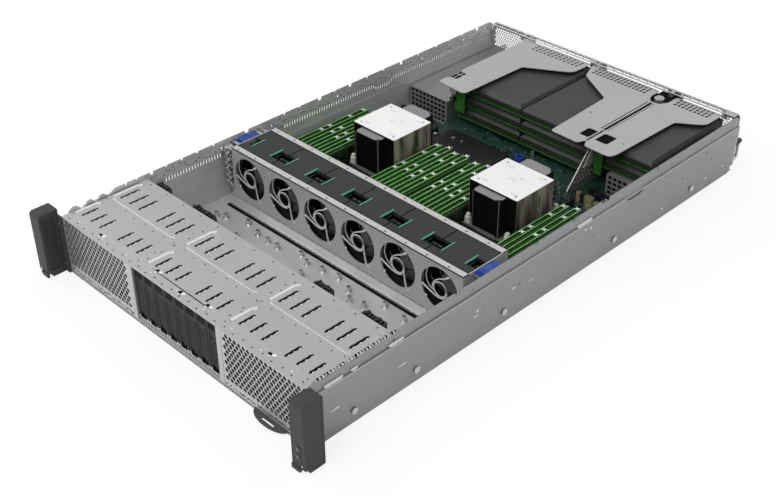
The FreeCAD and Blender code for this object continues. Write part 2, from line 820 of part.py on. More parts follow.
def fan_module(x):
    # Fan housing with its bore, finger wells with coloured tabs, the rear struts and the shaft.
    half = (fan_pitch - divider_sheet) / 2 - fan_side_gap
    front, back = module_depth()
    bottom = sheet + fan_cage_clearance + fan_sheet + fan_bottom_gap
    body = perforated(rectangle((x - half, x + half), (bottom, fan_cage_top - fan_bottom_gap)),
                      [around(x, fan_axis_height, fan_opening, bore_sides)], "Y", front, back)
    tools = []
    y_middle = (front + back) / 2 - fan_well_length / 5
    well_y = (y_middle - fan_well_length / 2, y_middle + fan_well_length / 2)
    for sign in (-1, 1):
        well = sorted([x + sign * (half - fan_well_width), x + sign * (half + 1)])
        tools.append(block(well, well_y, (fan_cage_top - fan_well_depth, fan_cage_top + 1)))
    pieces = [cut(body, tools)]
    for sign in (-1, 1):
        wall = half - fan_well_width
        pieces.append(block(sorted([x + sign * wall, x + sign * (wall + fan_tab)]), well_y,
                            (fan_cage_top - fan_well_depth, fan_cage_top + tab_proud)))
    struts_front = back - strut_depth
    centre = (x, struts_front, fan_axis_height)
    pieces.append(prism(around(x, fan_axis_height, hub_radius, hub_sides), "Y", stator_front(), back))
    for k in range(stator_struts):
        bar = block((x, x + fan_opening + 1), (struts_front, back),
                    (fan_axis_height - strut_width / 2, fan_axis_height + strut_width / 2))
        bar.rotate(Vector(*centre), Vector(0, 1, 0), 360 / stator_struts * (k + 0.5))
        pieces.append(bar)
    bore = shaft_radius / math.cos(math.pi / shaft_sides) + shaft_clearance
    bearing = prism(around(x, fan_axis_height, bore, shaft_sides), "Y",
                    stator_front() - 1, stator_front() + shaft_length + stator_gap)
    return fuse(pieces).cut(bearing)


def stator_front():
    return module_depth()[0] + hub_start + hub_length + stator_gap


def blade_section(radius, chord, pitch_angle, y_middle):
    # A thin cambered section, drawn in the plane square to the blade's radius.
    half = chord / 2
    camber = chord * 0.08
    thick = blade_thickness / 2
    profile = [(-half, 0), (0, camber + thick), (half, 0), (0, camber - thick)]
    angle = math.radians(pitch_angle)
    points = []
    for along, up in profile:
        across = along * math.cos(angle) - up * math.sin(angle)
        depth = along * math.sin(angle) + up * math.cos(angle)
        points.append(Vector(across, y_middle + depth, radius))
    return points


def fan_rotor(x):
    # A hub with twisted blades and a short shaft that runs in the bearing behind it.
    front = module_depth()[0] + hub_start
    y_middle = front + hub_length / 2
    tip = fan_opening * math.cos(math.pi / bore_sides) - blade_tip_gap
    reach = math.sqrt(tip ** 2 - (blade_tip_chord / 2) ** 2)
    blade = faceted(blade_section(hub_radius * 0.6, blade_root_chord, blade_root_pitch, y_middle),
                    blade_section(reach, blade_tip_chord, blade_tip_pitch, y_middle))
    blade.translate(Vector(x, 0, fan_axis_height))
    pieces = [prism(around(x, fan_axis_height, hub_radius, hub_sides), "Y", front, front + hub_length)]
    for k in range(blade_count):
        turned = blade.copy()
        turned.rotate(Vector(x, 0, fan_axis_height), Vector(0, 1, 0), 360 / blade_count * k)
        pieces.append(turned)
    pieces.append(prism(around(x, fan_axis_height, shaft_radius, shaft_sides), "Y",
                        front + hub_length - 1, front + hub_length + shaft_length))
    return fuse(pieces)


def latch_range():
    front = fan_inner_front + fan_side_gap * 2 + fan_depth / 8
    return front, front + latch_length


def fan_latch(side):
    # A curved finger lever that lies on the shelf at the end of the fan cage.
    half = fan_cage_half() + fan_side_gap
    y = latch_range()
    bottom = fan_cage_top - latch_shelf_drop + fan_bottom_gap
    lever = [(half, bottom), (half + latch_width, bottom),
             (half + latch_width, bottom + latch_thickness + latch_curl),
             (half + latch_width * 0.6, bottom + latch_thickness),
             (half + latch_width * 0.3, bottom + latch_thickness),
             (half, bottom + latch_thickness + latch_curl)]
    solid = prism(lever, "Y", y[0], y[1])
    solid = solid.cut(block((half + latch_width * 0.35, half + latch_width * 0.65),
                            (y[0] + latch_length * 0.25, y[1] - latch_length * 0.25),
                            (bottom - 1, bottom + latch_thickness * 3)))
    return solid if side > 0 else mirror_x(solid)


# Board, processors and memory
def motherboard():
    side = wall_inner - board_side_margin
    outline = [(-side, board_front), (side, board_front), (side, board_step), (board_rear_half, board_step),
               (board_rear_half, board_rear), (-board_rear_half, board_rear), (-board_rear_half, board_step),
               (-side, board_step)]
    pieces = [prism(outline, "Z", board_bottom, board_top)]
    for share, (width, height) in zip(port_shares, port_sizes):
        x = board_rear_half * share
        shell = (x - width / 2, x + width / 2)
        foot = board_top + port_foot
        pieces.append(block(shell, (body_depth - port_depth, body_depth), (foot, foot + height)))
        pieces.append(block(shell, (board_rear - port_foot, body_depth - port_depth + port_foot),
                            (board_top, foot + port_foot)))
    for x in (left_wall_x + riser_sheet + riser_board / 2, middle_wall_x - riser_board / 2):
        pieces.append(block((x - riser_slot_half, x + riser_slot_half),
                            (card_front + riser_slot_setback, riser_end - riser_slot_setback / 2),
                            (board_top, board_top + riser_slot_rise)))
    return fuse(pieces)


def heatsink_outline(x):
    half = heatsink_width / 2
    neck = heatsink_neck / 2
    front, rear = heatsink_middle
    return [(x - half, front), (x - neck, front), (x - neck, heatsink_front), (x + neck, heatsink_front),
            (x + neck, front), (x + half, front), (x + half, rear), (x + neck, rear),
            (x + neck, heatsink_rear), (x - neck, heatsink_rear), (x - neck, rear), (x - half, rear)]


def heatsink(x):
    # Straight fins on a base, longer in the middle, with a cap plate over the wide part.
    bottom = board_top + socket_height
    base = prism(heatsink_outline(x), "Z", bottom, bottom + heatsink_base)
    half = heatsink_width / 2
    pieces = [base]
    pitch = (heatsink_width - fin_thickness) / (fin_count - 1)
    cap_bottom = heatsink_top - heatsink_cap
    for i in range(fin_count):
        low = x - half + i * pitch
        middle_fin = abs(low + fin_thickness / 2 - x) < heatsink_neck / 2
        if middle_fin:
            front, rear = heatsink_middle
            outline = [(heatsink_front, bottom), (heatsink_rear, bottom),
                       (heatsink_rear, heatsink_top - neck_drop * 2), (rear + neck_drop * 2, cap_bottom),
                       (front - neck_drop * 2, cap_bottom), (heatsink_front, heatsink_top - neck_drop * 2)]
            pieces.append(prism(outline, "X", low, low + fin_thickness))
        else:
            pieces.append(block((low, low + fin_thickness), heatsink_middle, (bottom, cap_bottom)))
    pieces.append(block((x - half, x + half), heatsink_middle, (cap_bottom, heatsink_top)))
    solid = fuse(pieces)
    nuts = []
    for sign_x in (-1, 1):
        for y in (heatsink_front + nut_inset, heatsink_rear - nut_inset):
            nut_x = x + sign_x * (half - nut_inset)
            nuts.append(prism(around(nut_x, y, nut_radius, 6), "Z", bottom, bottom + nut_height))
            ear = block(sorted([x + sign_x * heatsink_neck / 2, nut_x + sign_x * nut_radius]),
                        (y - nut_radius, y + nut_radius), (bottom, bottom + heatsink_base / 2))
            nuts.append(ear)
    return fuse([solid] + nuts)


def processor_sockets():
    bodies = []
    for x in heatsink_places:
        half = heatsink_width / 2
        frame = block((x - half, x + half), (heatsink_front, heatsink_rear),
                      (board_top, board_top + socket_height - seat))
        window = block((x - half + socket_wall, x + half - socket_wall),
                       (heatsink_front + socket_wall, heatsink_rear - socket_wall),
                       (board_top + socket_wall, board_top + socket_height))
        lid = block((x - half / 2, x + half / 2), (heatsink_middle[0], heatsink_middle[1]),
                    (board_top, board_top + socket_height - seat))
        bodies.append(fuse([frame.cut(window), lid]))
    return Part.makeCompound(bodies)


def module_places():
    places = []
    for share in memory_group_shares:
        for i in range(modules_per_group):
            step = (i - (modules_per_group - 1) / 2) * module_pitch_share
            places.append(body_width * (share + step))
    return places


def memory_socket(x):
    # A grooved bar, a little longer than the module that stands in it.
    half = socket_width / 2
    groove = module_thickness / 2 + groove_clearance
    top = board_top + socket_rise
    outline = [(x - half, board_top), (x + half, board_top), (x + half, top), (x + groove, top),
               (x + groove, top - socket_groove), (x - groove, top - socket_groove), (x - groove, top),
               (x - half, top)]
    return prism(outline, "Y", memory_front - socket_end, memory_front + module_length + socket_end)


def memory_sockets():
    return Part.makeCompound([memory_socket(x) for x in module_places()])


def memory_module(x):
    bottom = board_top + socket_rise - socket_groove + groove_clearance
    return block((x - module_thickness / 2, x + module_thickness / 2),
                 (memory_front, memory_front + module_length), (bottom, bottom + module_height))


def memory_modules():
    return Part.makeCompound([memory_module(x) for x in module_places()])


def memory_latch(x, front):
    # Drawn for the front end: the foot turns beside the socket and the nose holds the module.
    foot = board_top + memory_latch_gap
    near = memory_front - socket_end - memory_latch_gap
    far = near - memory_latch_depth
    top = foot + memory_latch_rise
    outline = [(near, foot), (near, top), (near - memory_latch_depth * 0.6, top), (far, foot)]
    half = memory_latch_width / 2
    latch = prism(outline, "X", x - half, x + half)
    if front:
        return latch
    centre = memory_front + module_length / 2
    return latch.mirror(Vector(0, centre, 0), Vector(0, 1, 0))


def memory_latches(front):
    return Part.makeCompound([memory_latch(x, front) for x in module_places()])


# Power supplies
def psu_range():
    outer = wall_inner - psu_side_gap
    return outer - psu_width, outer


def psu():
    x = psu_range()
    z = (sheet + psu_floor_gap, sheet + psu_floor_gap + psu_height)
    front = body_depth - psu_length
    body = block(x, (front, body_depth), z)
    tools = []
    pitch_x = (psu_width - psu_grille_border * 2 + psu_grille_bar) / psu_grille_columns
    pitch_z = (psu_height - psu_grille_border * 2 + psu_grille_bar) / psu_grille_rows
    for i in range(psu_grille_columns):
        for j in range(psu_grille_rows):
            low_x = x[0] + psu_grille_border + i * pitch_x
            low_z = z[0] + psu_grille_border + j * pitch_z
            tools.append(block((low_x, low_x + pitch_x - psu_grille_bar),
                               (front - 1, front + psu_grille_depth),
                               (low_z, low_z + pitch_z - psu_grille_bar)))
    fan_x = x[1] - psu_fan_radius - psu_grille_border
    middle_z = (z[0] + z[1]) / 2
    tools.append(prism(around(fan_x, middle_z, psu_fan_radius, bore_sides), "Y",
                       body_depth - psu_fan_depth, body_depth + 1))
    inlet_x = (x[0] + psu_grille_bar, x[0] + psu_grille_bar + inlet_width)
    inlet_z = (middle_z - inlet_height / 2, middle_z + inlet_height / 2)
    tools.append(block(inlet_x, (body_depth - inlet_depth, body_depth + 1), inlet_z))
    pieces = [cut(body, tools)]
    inlet_middle = (inlet_x[0] + inlet_x[1]) / 2
    for offset, rise in ((-pin_spread, pin_rise), (0, -pin_rise), (pin_spread, pin_rise)):
        pieces.append(block((inlet_middle + offset - pin_width / 2, inlet_middle + offset + pin_width / 2),
                            (body_depth - inlet_depth - 1, body_depth - inlet_depth + pin_length),
                            (middle_z + rise - pin_height / 2, middle_z + rise + pin_height / 2)))
    low_z, high_z = z[0] + handle_drop, z[1] - handle_drop
    handle_x = (x[1] - handle_width, x[1])
    tip = body_depth + handle_reach
    loop = [(body_depth, low_z), (tip - handle_bar, low_z), (tip, low_z + handle_bar),
            (tip, high_z - handle_bar), (tip - handle_bar, high_z), (body_depth, high_z),
            (body_depth, high_z - handle_bar), (tip - handle_bar - 1, high_z - handle_bar),
            (tip - handle_bar, high_z - handle_bar - 1), (tip - handle_bar, low_z + handle_bar + 1),
            (tip - handle_bar - 1, low_z + handle_bar), (body_depth, low_z + handle_bar)]
    pieces.append(prism(loop, "X", handle_x[0], handle_x[1]))
    return fuse(pieces)


def psu_latch():
    # A sprung thumb piece between the inlet and the fan.
    x = psu_range()[0] + psu_grille_bar * 2 + inlet_width
    z = sheet + psu_floor_gap + handle_drop
    y = body_depth + seat
    outline = [(x, y), (x + psu_latch_width / 2, y), (x + psu_latch_width / 2, y + psu_latch_reach * 0.6),
               (x + psu_latch_width / 4, y + psu_latch_reach), (x, y + psu_latch_reach)]
    return prism(outline, "Z", z, z + psu_latch_height)


# Risers
def card_levels(count):
    top = riser_top - riser_sheet - card_drop
    return [(top - i * card_pitch - card_thickness, top - i * card_pitch) for i in range(count)]


def riser_vents(x, y):
    count = int((x[1] - x[0]) / riser_vent_pitch)
    start = (x[0] + x[1] - (count - 1) * riser_vent_pitch) / 2
    holes = []
    for i in range(count):
        centre = start + i * riser_vent_pitch
        holes.append(rectangle((centre - riser_vent_width / 2, centre + riser_vent_width / 2),
                               (y, y + riser_vent_length)))
    return holes


def riser_outline(origin, width, points):
    length = card_rear - riser_nose
    return [(origin + width * across, riser_nose + length * along) for across, along in points]


def riser_left():
    # A top plate with a wide rear apron, a side wall and the riser board behind it.
    z = (riser_top - riser_sheet, riser_top)
    edge = left_wall_x - left_plate_lap
    step = edge + riser_step_width
    length = card_rear - riser_nose
    rear, inner, outer, side, nose = [riser_nose + length * share for share in left_step_shares]
    outline = [(edge, nose)] + riser_outline(left_wall_x, stack_width, left_front_shares)
    outline += [(edge, card_rear), (edge, rear), (step, inner), (step, outer), (edge, side)]
    vents = riser_vents((left_wall_x + riser_step_width, left_wall_x + stack_width - riser_vent_margin),
                        card_rear - riser_vent_gap)
    plate = perforated(outline, vents, "Z", z[0], z[1])
    wall = block((left_wall_x, left_wall_x + riser_sheet), (rear, card_rear), (riser_low, riser_top))
    board_x = left_wall_x + riser_sheet
    board = block((board_x, board_x + riser_board), (rear, card_rear - riser_vent_margin),
                  (riser_foot, z[0]))
    return fuse([plate, wall, board])


def riser_right():
    z = (riser_top - riser_sheet, riser_top)
    wall_x = middle_wall_x
    far = wall_x + riser_wall_gap
    knob_x = wall_x + riser_wall_gap / 2
    bay = knob_radius * 2
    notch = knob_place - bay * knob_notch_share
    outline = riser_outline(wall_x, right_card_width, right_front_shares)
    outline += [(knob_x + bay, card_rear), (knob_x + bay, knob_place), (knob_x + bay / 2, notch),
                (knob_x - bay / 2, notch), (knob_x - bay, knob_place), (knob_x - bay, card_rear)]
    outline += riser_outline(wall_x, stack_width, right_wall_shares)
    vent_y = card_rear - riser_vent_gap
    holes = riser_vents((wall_x - stack_width, knob_x - bay - riser_vent_margin), vent_y)
    holes += riser_vents((knob_x + bay + riser_vent_margin, far + right_card_width), vent_y)
    window = (card_front - riser_window_gap, card_front - riser_window_gap + riser_window_length)
    holes.append(rectangle((wall_x - riser_window_edge - riser_window, wall_x - riser_window_edge), window))
    holes.append(rectangle((far + riser_window_edge, far + riser_window_edge + riser_window), window))
    plate = perforated(outline, holes, "Z", z[0], z[1])
    brow = card_front + riser_brow_gap
    slanted = [(brow, riser_top), (riser_wall_front, riser_wall_foot), (riser_wall_front, riser_foot),
               (riser_end, riser_foot), (riser_end, riser_top)]
    short = [(brow, riser_top), (card_front - riser_apron, riser_low), (riser_end, riser_low),
             (riser_end, riser_top)]
    ledge_z = riser_top - knob_height / 2 - knob_clearance
    ledge = block((knob_x - bay, knob_x + bay), (riser_end, card_rear), (ledge_z - riser_sheet, ledge_z))
    web = block((knob_x - bay, knob_x + bay), (riser_end, riser_end + riser_sheet), (ledge_z, z[0]))
    hole = prism(around(knob_x, knob_place, knob_screw_radius + knob_clearance, knob_sides), "Z",
                 ledge_z - riser_sheet * 2, ledge_z + riser_sheet)
    return fuse([plate, web, ledge.cut(hole),
                 prism(slanted, "X", wall_x, wall_x + riser_sheet),
                 prism(short, "X", far - riser_sheet, far),
                 block((wall_x - riser_board, wall_x), (card_front, riser_end), (riser_foot, z[0])),
                 block((far, far + riser_board), (card_front, riser_end), (riser_low, z[0]))])


def card(x, levels):
    # A long expansion card: green board, dark cover over it and a vented bracket at the rear.
    pieces = []
    low, high = x
    for bottom, top in levels:
        board = block((low, high), (card_front, card_rear - riser_sheet), (bottom, bottom + card_board))
        cover = block((low + card_edge, high - 1),
                      (card_front + card_cover_setback, card_rear - riser_sheet),
                      (bottom + card_board, bottom + card_board + card_cover))
        pieces += [board, cover]
    lowest = levels[-1][0]
    highest = levels[0][1]
    bracket = block((low + card_edge, high), (card_rear - riser_sheet, card_rear), (lowest, highest))
    pieces.append(bracket)
    return fuse(pieces)


def cards_left():
    x = left_wall_x + riser_sheet + riser_board + seat
    return card((x, x + stack_width), card_levels(3))


def cards_right():
    left = middle_wall_x - riser_board - seat
    right = middle_wall_x + riser_wall_gap + riser_board + seat
    return Part.makeCompound([card((left - stack_width, left), card_levels(3)),
                              card((right, right + right_card_width), card_levels(2))])


def riser_thumbscrew():
    # A knurled captive screw in the notch between the two rear aprons.
    x = middle_wall_x + riser_wall_gap / 2
    bottom = riser_top - knob_height / 2
    knob = prism(around(x, knob_place, knob_radius, knob_sides), "Z", bottom, bottom + knob_height)
    screw = prism(around(x, knob_place, knob_screw_radius, knob_sides), "Z",
                  bottom - knob_screw_length, bottom)
    return fuse([knob, screw])


def export(name, shape):
    shape.translate(Vector(0, -middle, 0))
    shape.exportStep(os.path.join("parts", name + ".step"))


os.makedirs("parts", exist_ok=True)
export("chassis_base", chassis_base())
export("rear_panel", rear_panel())
export("studs", studs())
export("rack_ear_left", rack_ear(-1))
export("rack_ear_right", rack_ear(1))
export("power_button", ear_button(power_button_height))
export("id_button", ear_button(id_button_height))
export("drive_cage", drive_cage())
export("cage_top_plate", cage_top_plate())
export("vent_panels", vent_panels())
export("info_tab", info_tab())
for number, place_x in enumerate(drive_places(), 1):
    export("drive_" + str(number), drive(place_x))
    export("drive_lever_" + str(number), drive_lever(place_x))
export("drive_backplane", drive_backplane())
export("fan_cage", fan_cage())
for number, place_x in enumerate(fan_places(), 1):
    export("fan_module_" + str(number), fan_module(place_x))
    export("fan_rotor_" + str(number), fan_rotor(place_x))
export("fan_latch_left", fan_latch(-1))
export("fan_latch_right", fan_latch(1))
export("motherboard", motherboard())
export("processor_sockets", processor_sockets())
export("heatsink_left", heatsink(heatsink_places[0]))
export("heatsink_right", heatsink(heatsink_places[1]))
export("memory_sockets", memory_sockets())
export("memory_modules", memory_modules())
export("memory_latches_front", memory_latches(True))
export("memory_latches_rear", memory_latches(False))
export("psu_right", psu())
export("psu_left", psu().translated(Vector(-sum(psu_range()), 0, 0)))
export("psu_latch_right", psu_latch())
export("psu_latch_left", psu_latch().translated(Vector(-sum(psu_range()), 0, 0)))
export("riser_left", riser_left())
export("riser_right", riser_right())
export("cards_left", cards_left())
export("cards_right", cards_right())
export("riser_thumbscrew", riser_thumbscrew())
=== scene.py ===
import math
import random

import bmesh
import bpy
from mathutils import Matrix, Vector


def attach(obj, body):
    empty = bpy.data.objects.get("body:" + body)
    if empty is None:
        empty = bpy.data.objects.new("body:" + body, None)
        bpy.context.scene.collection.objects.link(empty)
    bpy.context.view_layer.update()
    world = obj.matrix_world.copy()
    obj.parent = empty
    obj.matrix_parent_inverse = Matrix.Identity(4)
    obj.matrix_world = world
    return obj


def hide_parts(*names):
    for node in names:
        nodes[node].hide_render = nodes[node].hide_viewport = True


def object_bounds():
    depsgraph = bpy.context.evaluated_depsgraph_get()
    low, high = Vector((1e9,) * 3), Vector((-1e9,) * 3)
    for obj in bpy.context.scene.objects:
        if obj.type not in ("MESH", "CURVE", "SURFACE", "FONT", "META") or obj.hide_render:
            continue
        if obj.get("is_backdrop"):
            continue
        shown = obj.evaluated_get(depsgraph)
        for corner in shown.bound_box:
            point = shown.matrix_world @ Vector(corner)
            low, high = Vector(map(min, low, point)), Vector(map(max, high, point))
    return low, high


# A two-unit rack server with its top cover off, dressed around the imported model. Sizes below are
# millimetres from the left-right middle, the front face and the underside, as they are on the bench.
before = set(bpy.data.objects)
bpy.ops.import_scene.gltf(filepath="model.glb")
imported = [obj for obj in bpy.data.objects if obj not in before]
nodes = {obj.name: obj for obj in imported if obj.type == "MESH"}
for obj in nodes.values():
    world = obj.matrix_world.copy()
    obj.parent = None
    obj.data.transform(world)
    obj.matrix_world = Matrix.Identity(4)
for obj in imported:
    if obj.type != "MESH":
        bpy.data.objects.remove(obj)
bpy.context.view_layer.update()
random.seed(7)

# The camera stands over the right front corner, as the picture was taken.
lens = bpy.data.cameras.new("lens")
lens.lens = 55.578
lens.sensor_width = 36.0
lens.clip_end = 20.0
camera = bpy.data.objects.new("camera", lens)
camera.location = (0.8913, -0.9339, 0.8424)
look = Vector((-0.5872, 0.5772, -0.5675))
right = look.cross(Vector((-0.4007, 0.4019, 0.8234))).normalized()
above = right.cross(look).normalized()
camera.rotation_euler = Matrix((right, above, -look.normalized())).transposed().to_euler()
bpy.context.collection.objects.link(camera)
bpy.context.scene.camera = camera
bpy.context.scene.view_settings.view_transform = "Standard"


# The studio: a pale floor that runs out to white, a bright surround and three large soft lamps.
class Reading:
    """One output of a shader node, so that sums on it read as sums."""

    def __init__(self, socket):
        self.socket = socket

    def sum_of(self, kind, first, second):
        tree = self.socket.id_data
        node = tree.nodes.new("ShaderNodeMath")
        node.operation = kind
        for slot, item in zip(node.inputs, (first, second)):
            if isinstance(item, Reading):
                tree.links.new(item.socket, slot)
            else:
                slot.default_value = item
        return Reading(node.outputs[0])

    def __add__(self, other):
        return self.sum_of("ADD", self, other)

    def __mul__(self, other):
        return self.sum_of("MULTIPLY", self, other)

    def __sub__(self, other):
        return self.sum_of("SUBTRACT", self, other)

    def __gt__(self, other):
        return self.sum_of("GREATER_THAN", self, other)


def tone(code):
    # A display colour such as 80A0C0 as the linear numbers that shaders take.
    parts = [int(code[i:i + 2], 16) / 255 for i in (0, 2, 4)]
    return tuple(p / 12.92 if p <= 0.04045 else ((p + 0.055) / 1.055) ** 2.4 for p in parts) + (1.0,)


class Coat:
    """A material with one main shader, whose other nodes all come from the method node."""

    def __init__(self, name, colour, rough, metal=0.0, **more):
        self.made = bpy.data.materials.new(name)
        self.made.use_nodes = True
        self.tree = self.made.node_tree
        self.main = self.tree.nodes["Principled BSDF"]
        self.set("Base Color", tone(colour) if isinstance(colour, str) else colour)
        self.set("Roughness", rough)
        self.set("Metallic", metal)
        for socket, value in more.items():
            self.set(socket.replace("_", " "), value)

    def set(self, socket, value):
        if isinstance(value, Reading):
            self.tree.links.new(value.socket, self.main.inputs[socket])
        else:
            self.main.inputs[socket].default_value = value

    def node(self, kind, settings=None, out=0, **values):
        made = self.tree.nodes.new("ShaderNode" + kind)
        for key, value in (settings or {}).items():
            setattr(made, key, value)
        for key, value in values.items():
            socket = made.inputs[int(key[1:])] if key[1:].isdigit() else made.inputs[key.replace("_", " ")]
            if isinstance(value, Reading):
                self.tree.links.new(value.socket, socket)
            else:
                socket.default_value = value
        return Reading(made.outputs[out])

    def noise(self, scale, detail=3.0, stretch=None):
        place = self.node("TexCoord", out=3)
        if stretch:
            place = self.node("Mapping", Vector=place, Scale=stretch)
        return self.node("TexNoise", Vector=place, Scale=scale, Detail=detail)

    def mixed(self, share, first, second):
        # Colours picked between two by a reading from 0 to 1.
        return self.node("Mix", {"data_type": "RGBA"}, out=2, i0=share, i6=first, i7=second)

    def bump(self, height, strength, depth):
        self.set("Normal", self.node("Bump", Height=height, Strength=strength, Distance=depth))


bounce = bpy.data.worlds.new("surround")
bpy.context.scene.world = bounce
bounce.use_nodes = True
sky = bounce.node_tree.nodes["Background"]
sky.inputs["Color"].default_value = (1.0, 1.0, 1.0, 1.0)
ray = bounce.node_tree.nodes.new("ShaderNodeLightPath")
level = Reading(ray.outputs["Is Camera Ray"]) * 0.45 + 0.55
bounce.node_tree.links.new(level.socket, sky.inputs["Strength"])

floor_mesh = bmesh.new()
bmesh.ops.create_grid(floor_mesh, x_segments=1, y_segments=1, size=30.0)
floor_data = bpy.data.meshes.new("floor")
floor_mesh.to_mesh(floor_data)
floor = bpy.data.objects.new("floor", floor_data)
floor.location = (0.0, 0.0, -0.0006)
bpy.context.collection.objects.link(floor)
pale = Coat("pale_floor", "FFFFFF", 0.9)
seen = pale.node("LightPath", out=0)
glow = pale.tree.nodes.new("ShaderNodeEmission")
blend = pale.tree.nodes.new("ShaderNodeMixShader")
pale.tree.links.new((seen * 0.8).socket, blend.inputs[0])
pale.tree.links.new(pale.main.outputs[0], blend.inputs[1])
pale.tree.links.new(glow.outputs[0], blend.inputs[2])
pale.tree.links.new(blend.outputs[0], pale.tree.nodes["Material Output"].inputs["Surface"])
floor_data.materials.append(pale.made)
floor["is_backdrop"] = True

for lamp_name, place, aim, size, power in (
        ("key", (0.3, -2.0, 2.6), (0.0, 0.0, 0.0), 1.8, 42.0),
        ("fill", (-2.2, -0.6, 1.9), (0.0, 0.0, 0.0), 1.8, 20.0),
        ("back", (0.6, 2.2, 2.2), (0.0, 0.0, 0.0), 1.6, 16.0)):
    lamp = bpy.data.lights.new(lamp_name, "AREA")
    lamp.size = size
    lamp.energy = power
    stand = bpy.data.objects.new(lamp_name, lamp)
    stand.location = place
    stand.rotation_euler = (Vector(aim) - Vector(place)).to_track_quat("-Z", "Y").to_euler()
    bpy.context.collection.objects.link(stand)


# Chassis tray: one folded sheet of zinc-plated steel. The walls step out over the rail recess, fold
# in at a ledge and rise as a thin lip that carries the cover. Holes and notches are punched flat.
middle = 382.0
tray_depth = 766.8
wall_face = 218.3
band_face = 219.5
lip_top = 84.0


def spot(x, y, z):
    return Vector((x, y - middle, z)) / 1000.0


def brick(mesh, x, y, z):
    corners = [mesh.verts.new(spot(a, b, c)) for c in z for b in y for a in x]
    for face in ((0, 2, 3, 1), (4, 5, 7, 6), (0, 1, 5, 4), (2, 6, 7, 3), (0, 4, 6, 2), (1, 3, 7, 5)):
        mesh.faces.new([corners[i] for i in face])


def place(a, b, axis, level):
    return {"X": (level, a, b), "Y": (a, level, b), "Z": (a, b, level)}[axis]


def plate(mesh, outline, holes, axis, low, high):
    # A flat sheet between two levels across an axis, with holes through it.
    edges = []
    for loop in [outline] + list(holes):
        corners = [mesh.verts.new(spot(*place(a, b, axis, low))) for a, b in loop]
        edges += [mesh.edges.new((corners[i - 1], corners[i])) for i in range(len(corners))]
    filled = bmesh.ops.triangle_fill(mesh, use_beauty=True, use_dissolve=False, edges=edges)
    faces = [item for item in filled["geom"] if isinstance(item, bmesh.types.BMFace)]
    grown = bmesh.ops.extrude_face_region(mesh, geom=faces, use_keep_orig=True)
    shift = spot(*place(0, 0, axis, high)) - spot(*place(0, 0, axis, low))
    moved = [item for item in grown["geom"] if isinstance(item, bmesh.types.BMVert)]
    bmesh.ops.translate(mesh, verts=moved, vec=shift)


def box_of(a, b):
    return [(a[0], b[0]), (a[1], b[0]), (a[1], b[1]), (a[0], b[1])]


def ring(a, b, radius, sides=16, start=0.0):
    return [(a + radius * math.cos(start + 2 * math.pi * i / sides),
             b + radius * math.sin(start + 2 * math.pi * i / sides)) for i in range(sides)]


def oblong(a, b, corner, steps=4):
    # A rectangle with rounded corners.
    points = []
    for quarter, (x, y) in enumerate(((a[1], b[1]), (a[0], b[1]), (a[0], b[0]), (a[1], b[0]))):
        cx = x - corner if x == a[1] else x + corner
        cy = y - corner if y == b[1] else y + corner
        for i in range(steps + 1):
            angle = math.pi / 2 * (quarter + i / steps)
            points.append((cx + corner * math.cos(angle), cy + corner * math.sin(angle)))
    return points


def post(mesh, x, y, z, axis, radius, length, sides=20, tip=None):
    turn = {"X": Matrix.Rotation(math.pi / 2, 4, "Y"), "Y": Matrix.Rotation(-math.pi / 2, 4, "X"),
            "Z": Matrix.Identity(4)}[axis]
    move = {"X": (length / 2, 0, 0), "Y": (0, length / 2, 0), "Z": (0, 0, length / 2)}[axis]
    centre = Matrix.Translation(spot(x + move[0], y + move[1], z + move[2]))
    bmesh.ops.create_cone(mesh, cap_ends=True, segments=sides, radius1=radius / 1000,
                          radius2=(radius if tip is None else tip) / 1000, depth=abs(length) / 1000,
                          matrix=centre @ turn)


def skin(mesh, rows, closed=False):
    # A surface through rows of places, and round each row where it is closed.
    grid = [[mesh.verts.new(spot(*point)) for point in row] for row in rows]
    for first, second in zip(grid, grid[1:]):
        for i in range(0 if closed else 1, len(first)):
            mesh.faces.new((first[i - 1], first[i], second[i], second[i - 1]))
    return grid


def bead(mesh, path, width, height, level):
    # A raised half-round rib that follows a path on a level sheet.
    rows = []
    for i, (x, y) in enumerate(path):
        ahead, behind = path[min(i + 1, len(path) - 1)], path[max(i - 1, 0)]
        along = Vector((ahead[0] - behind[0], ahead[1] - behind[1])).normalized()
        side = Vector((-along.y, along.x)) * width / 2
        rows.append([(x + side.x * share, y + side.y * share, level + height * rise)
                     for share, rise in ((1, 0), (0.75, 0.7), (0.3, 1), (-0.3, 1), (-0.75, 0.7), (-1, 0))])
    skin(mesh, rows)


def finish(name, mesh, coat, body, stands_for=(), soft=0.0, inside=None):
    bmesh.ops.recalc_face_normals(mesh, faces=mesh.faces)
    data = bpy.data.meshes.new(name)
    mesh.to_mesh(data)
    mesh.free()
    thing = bpy.data.objects.new(name, data)
    bpy.context.collection.objects.link(thing)
    data.materials.append(coat.made)
    if inside:
        # The faces that look towards the middle, and the floor, take a second, lighter finish: painted light
        # standing in for the bounce light inside the tray.
        data.materials.append(inside.made)
        for face in data.polygons:
            inward = face.normal.x * face.center.x < -0.01 * abs(face.center.x)
            face.material_index = int(inward or face.normal.z > 0.7 and face.center.z < 0.01)
    if soft:
        edge = thing.modifiers.new("edge", "BEVEL")
        edge.width = soft / 1000
        edge.segments = 2
        edge.limit_method = "ANGLE"
        edge.angle_limit = math.radians(50)
    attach(thing, body)
    if stands_for:
        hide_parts(*stands_for)
    return thing


def paint(coat, *names):
    for name in names:
        data = nodes[name].data
        data.materials.clear()
        data.materials.append(coat.made)


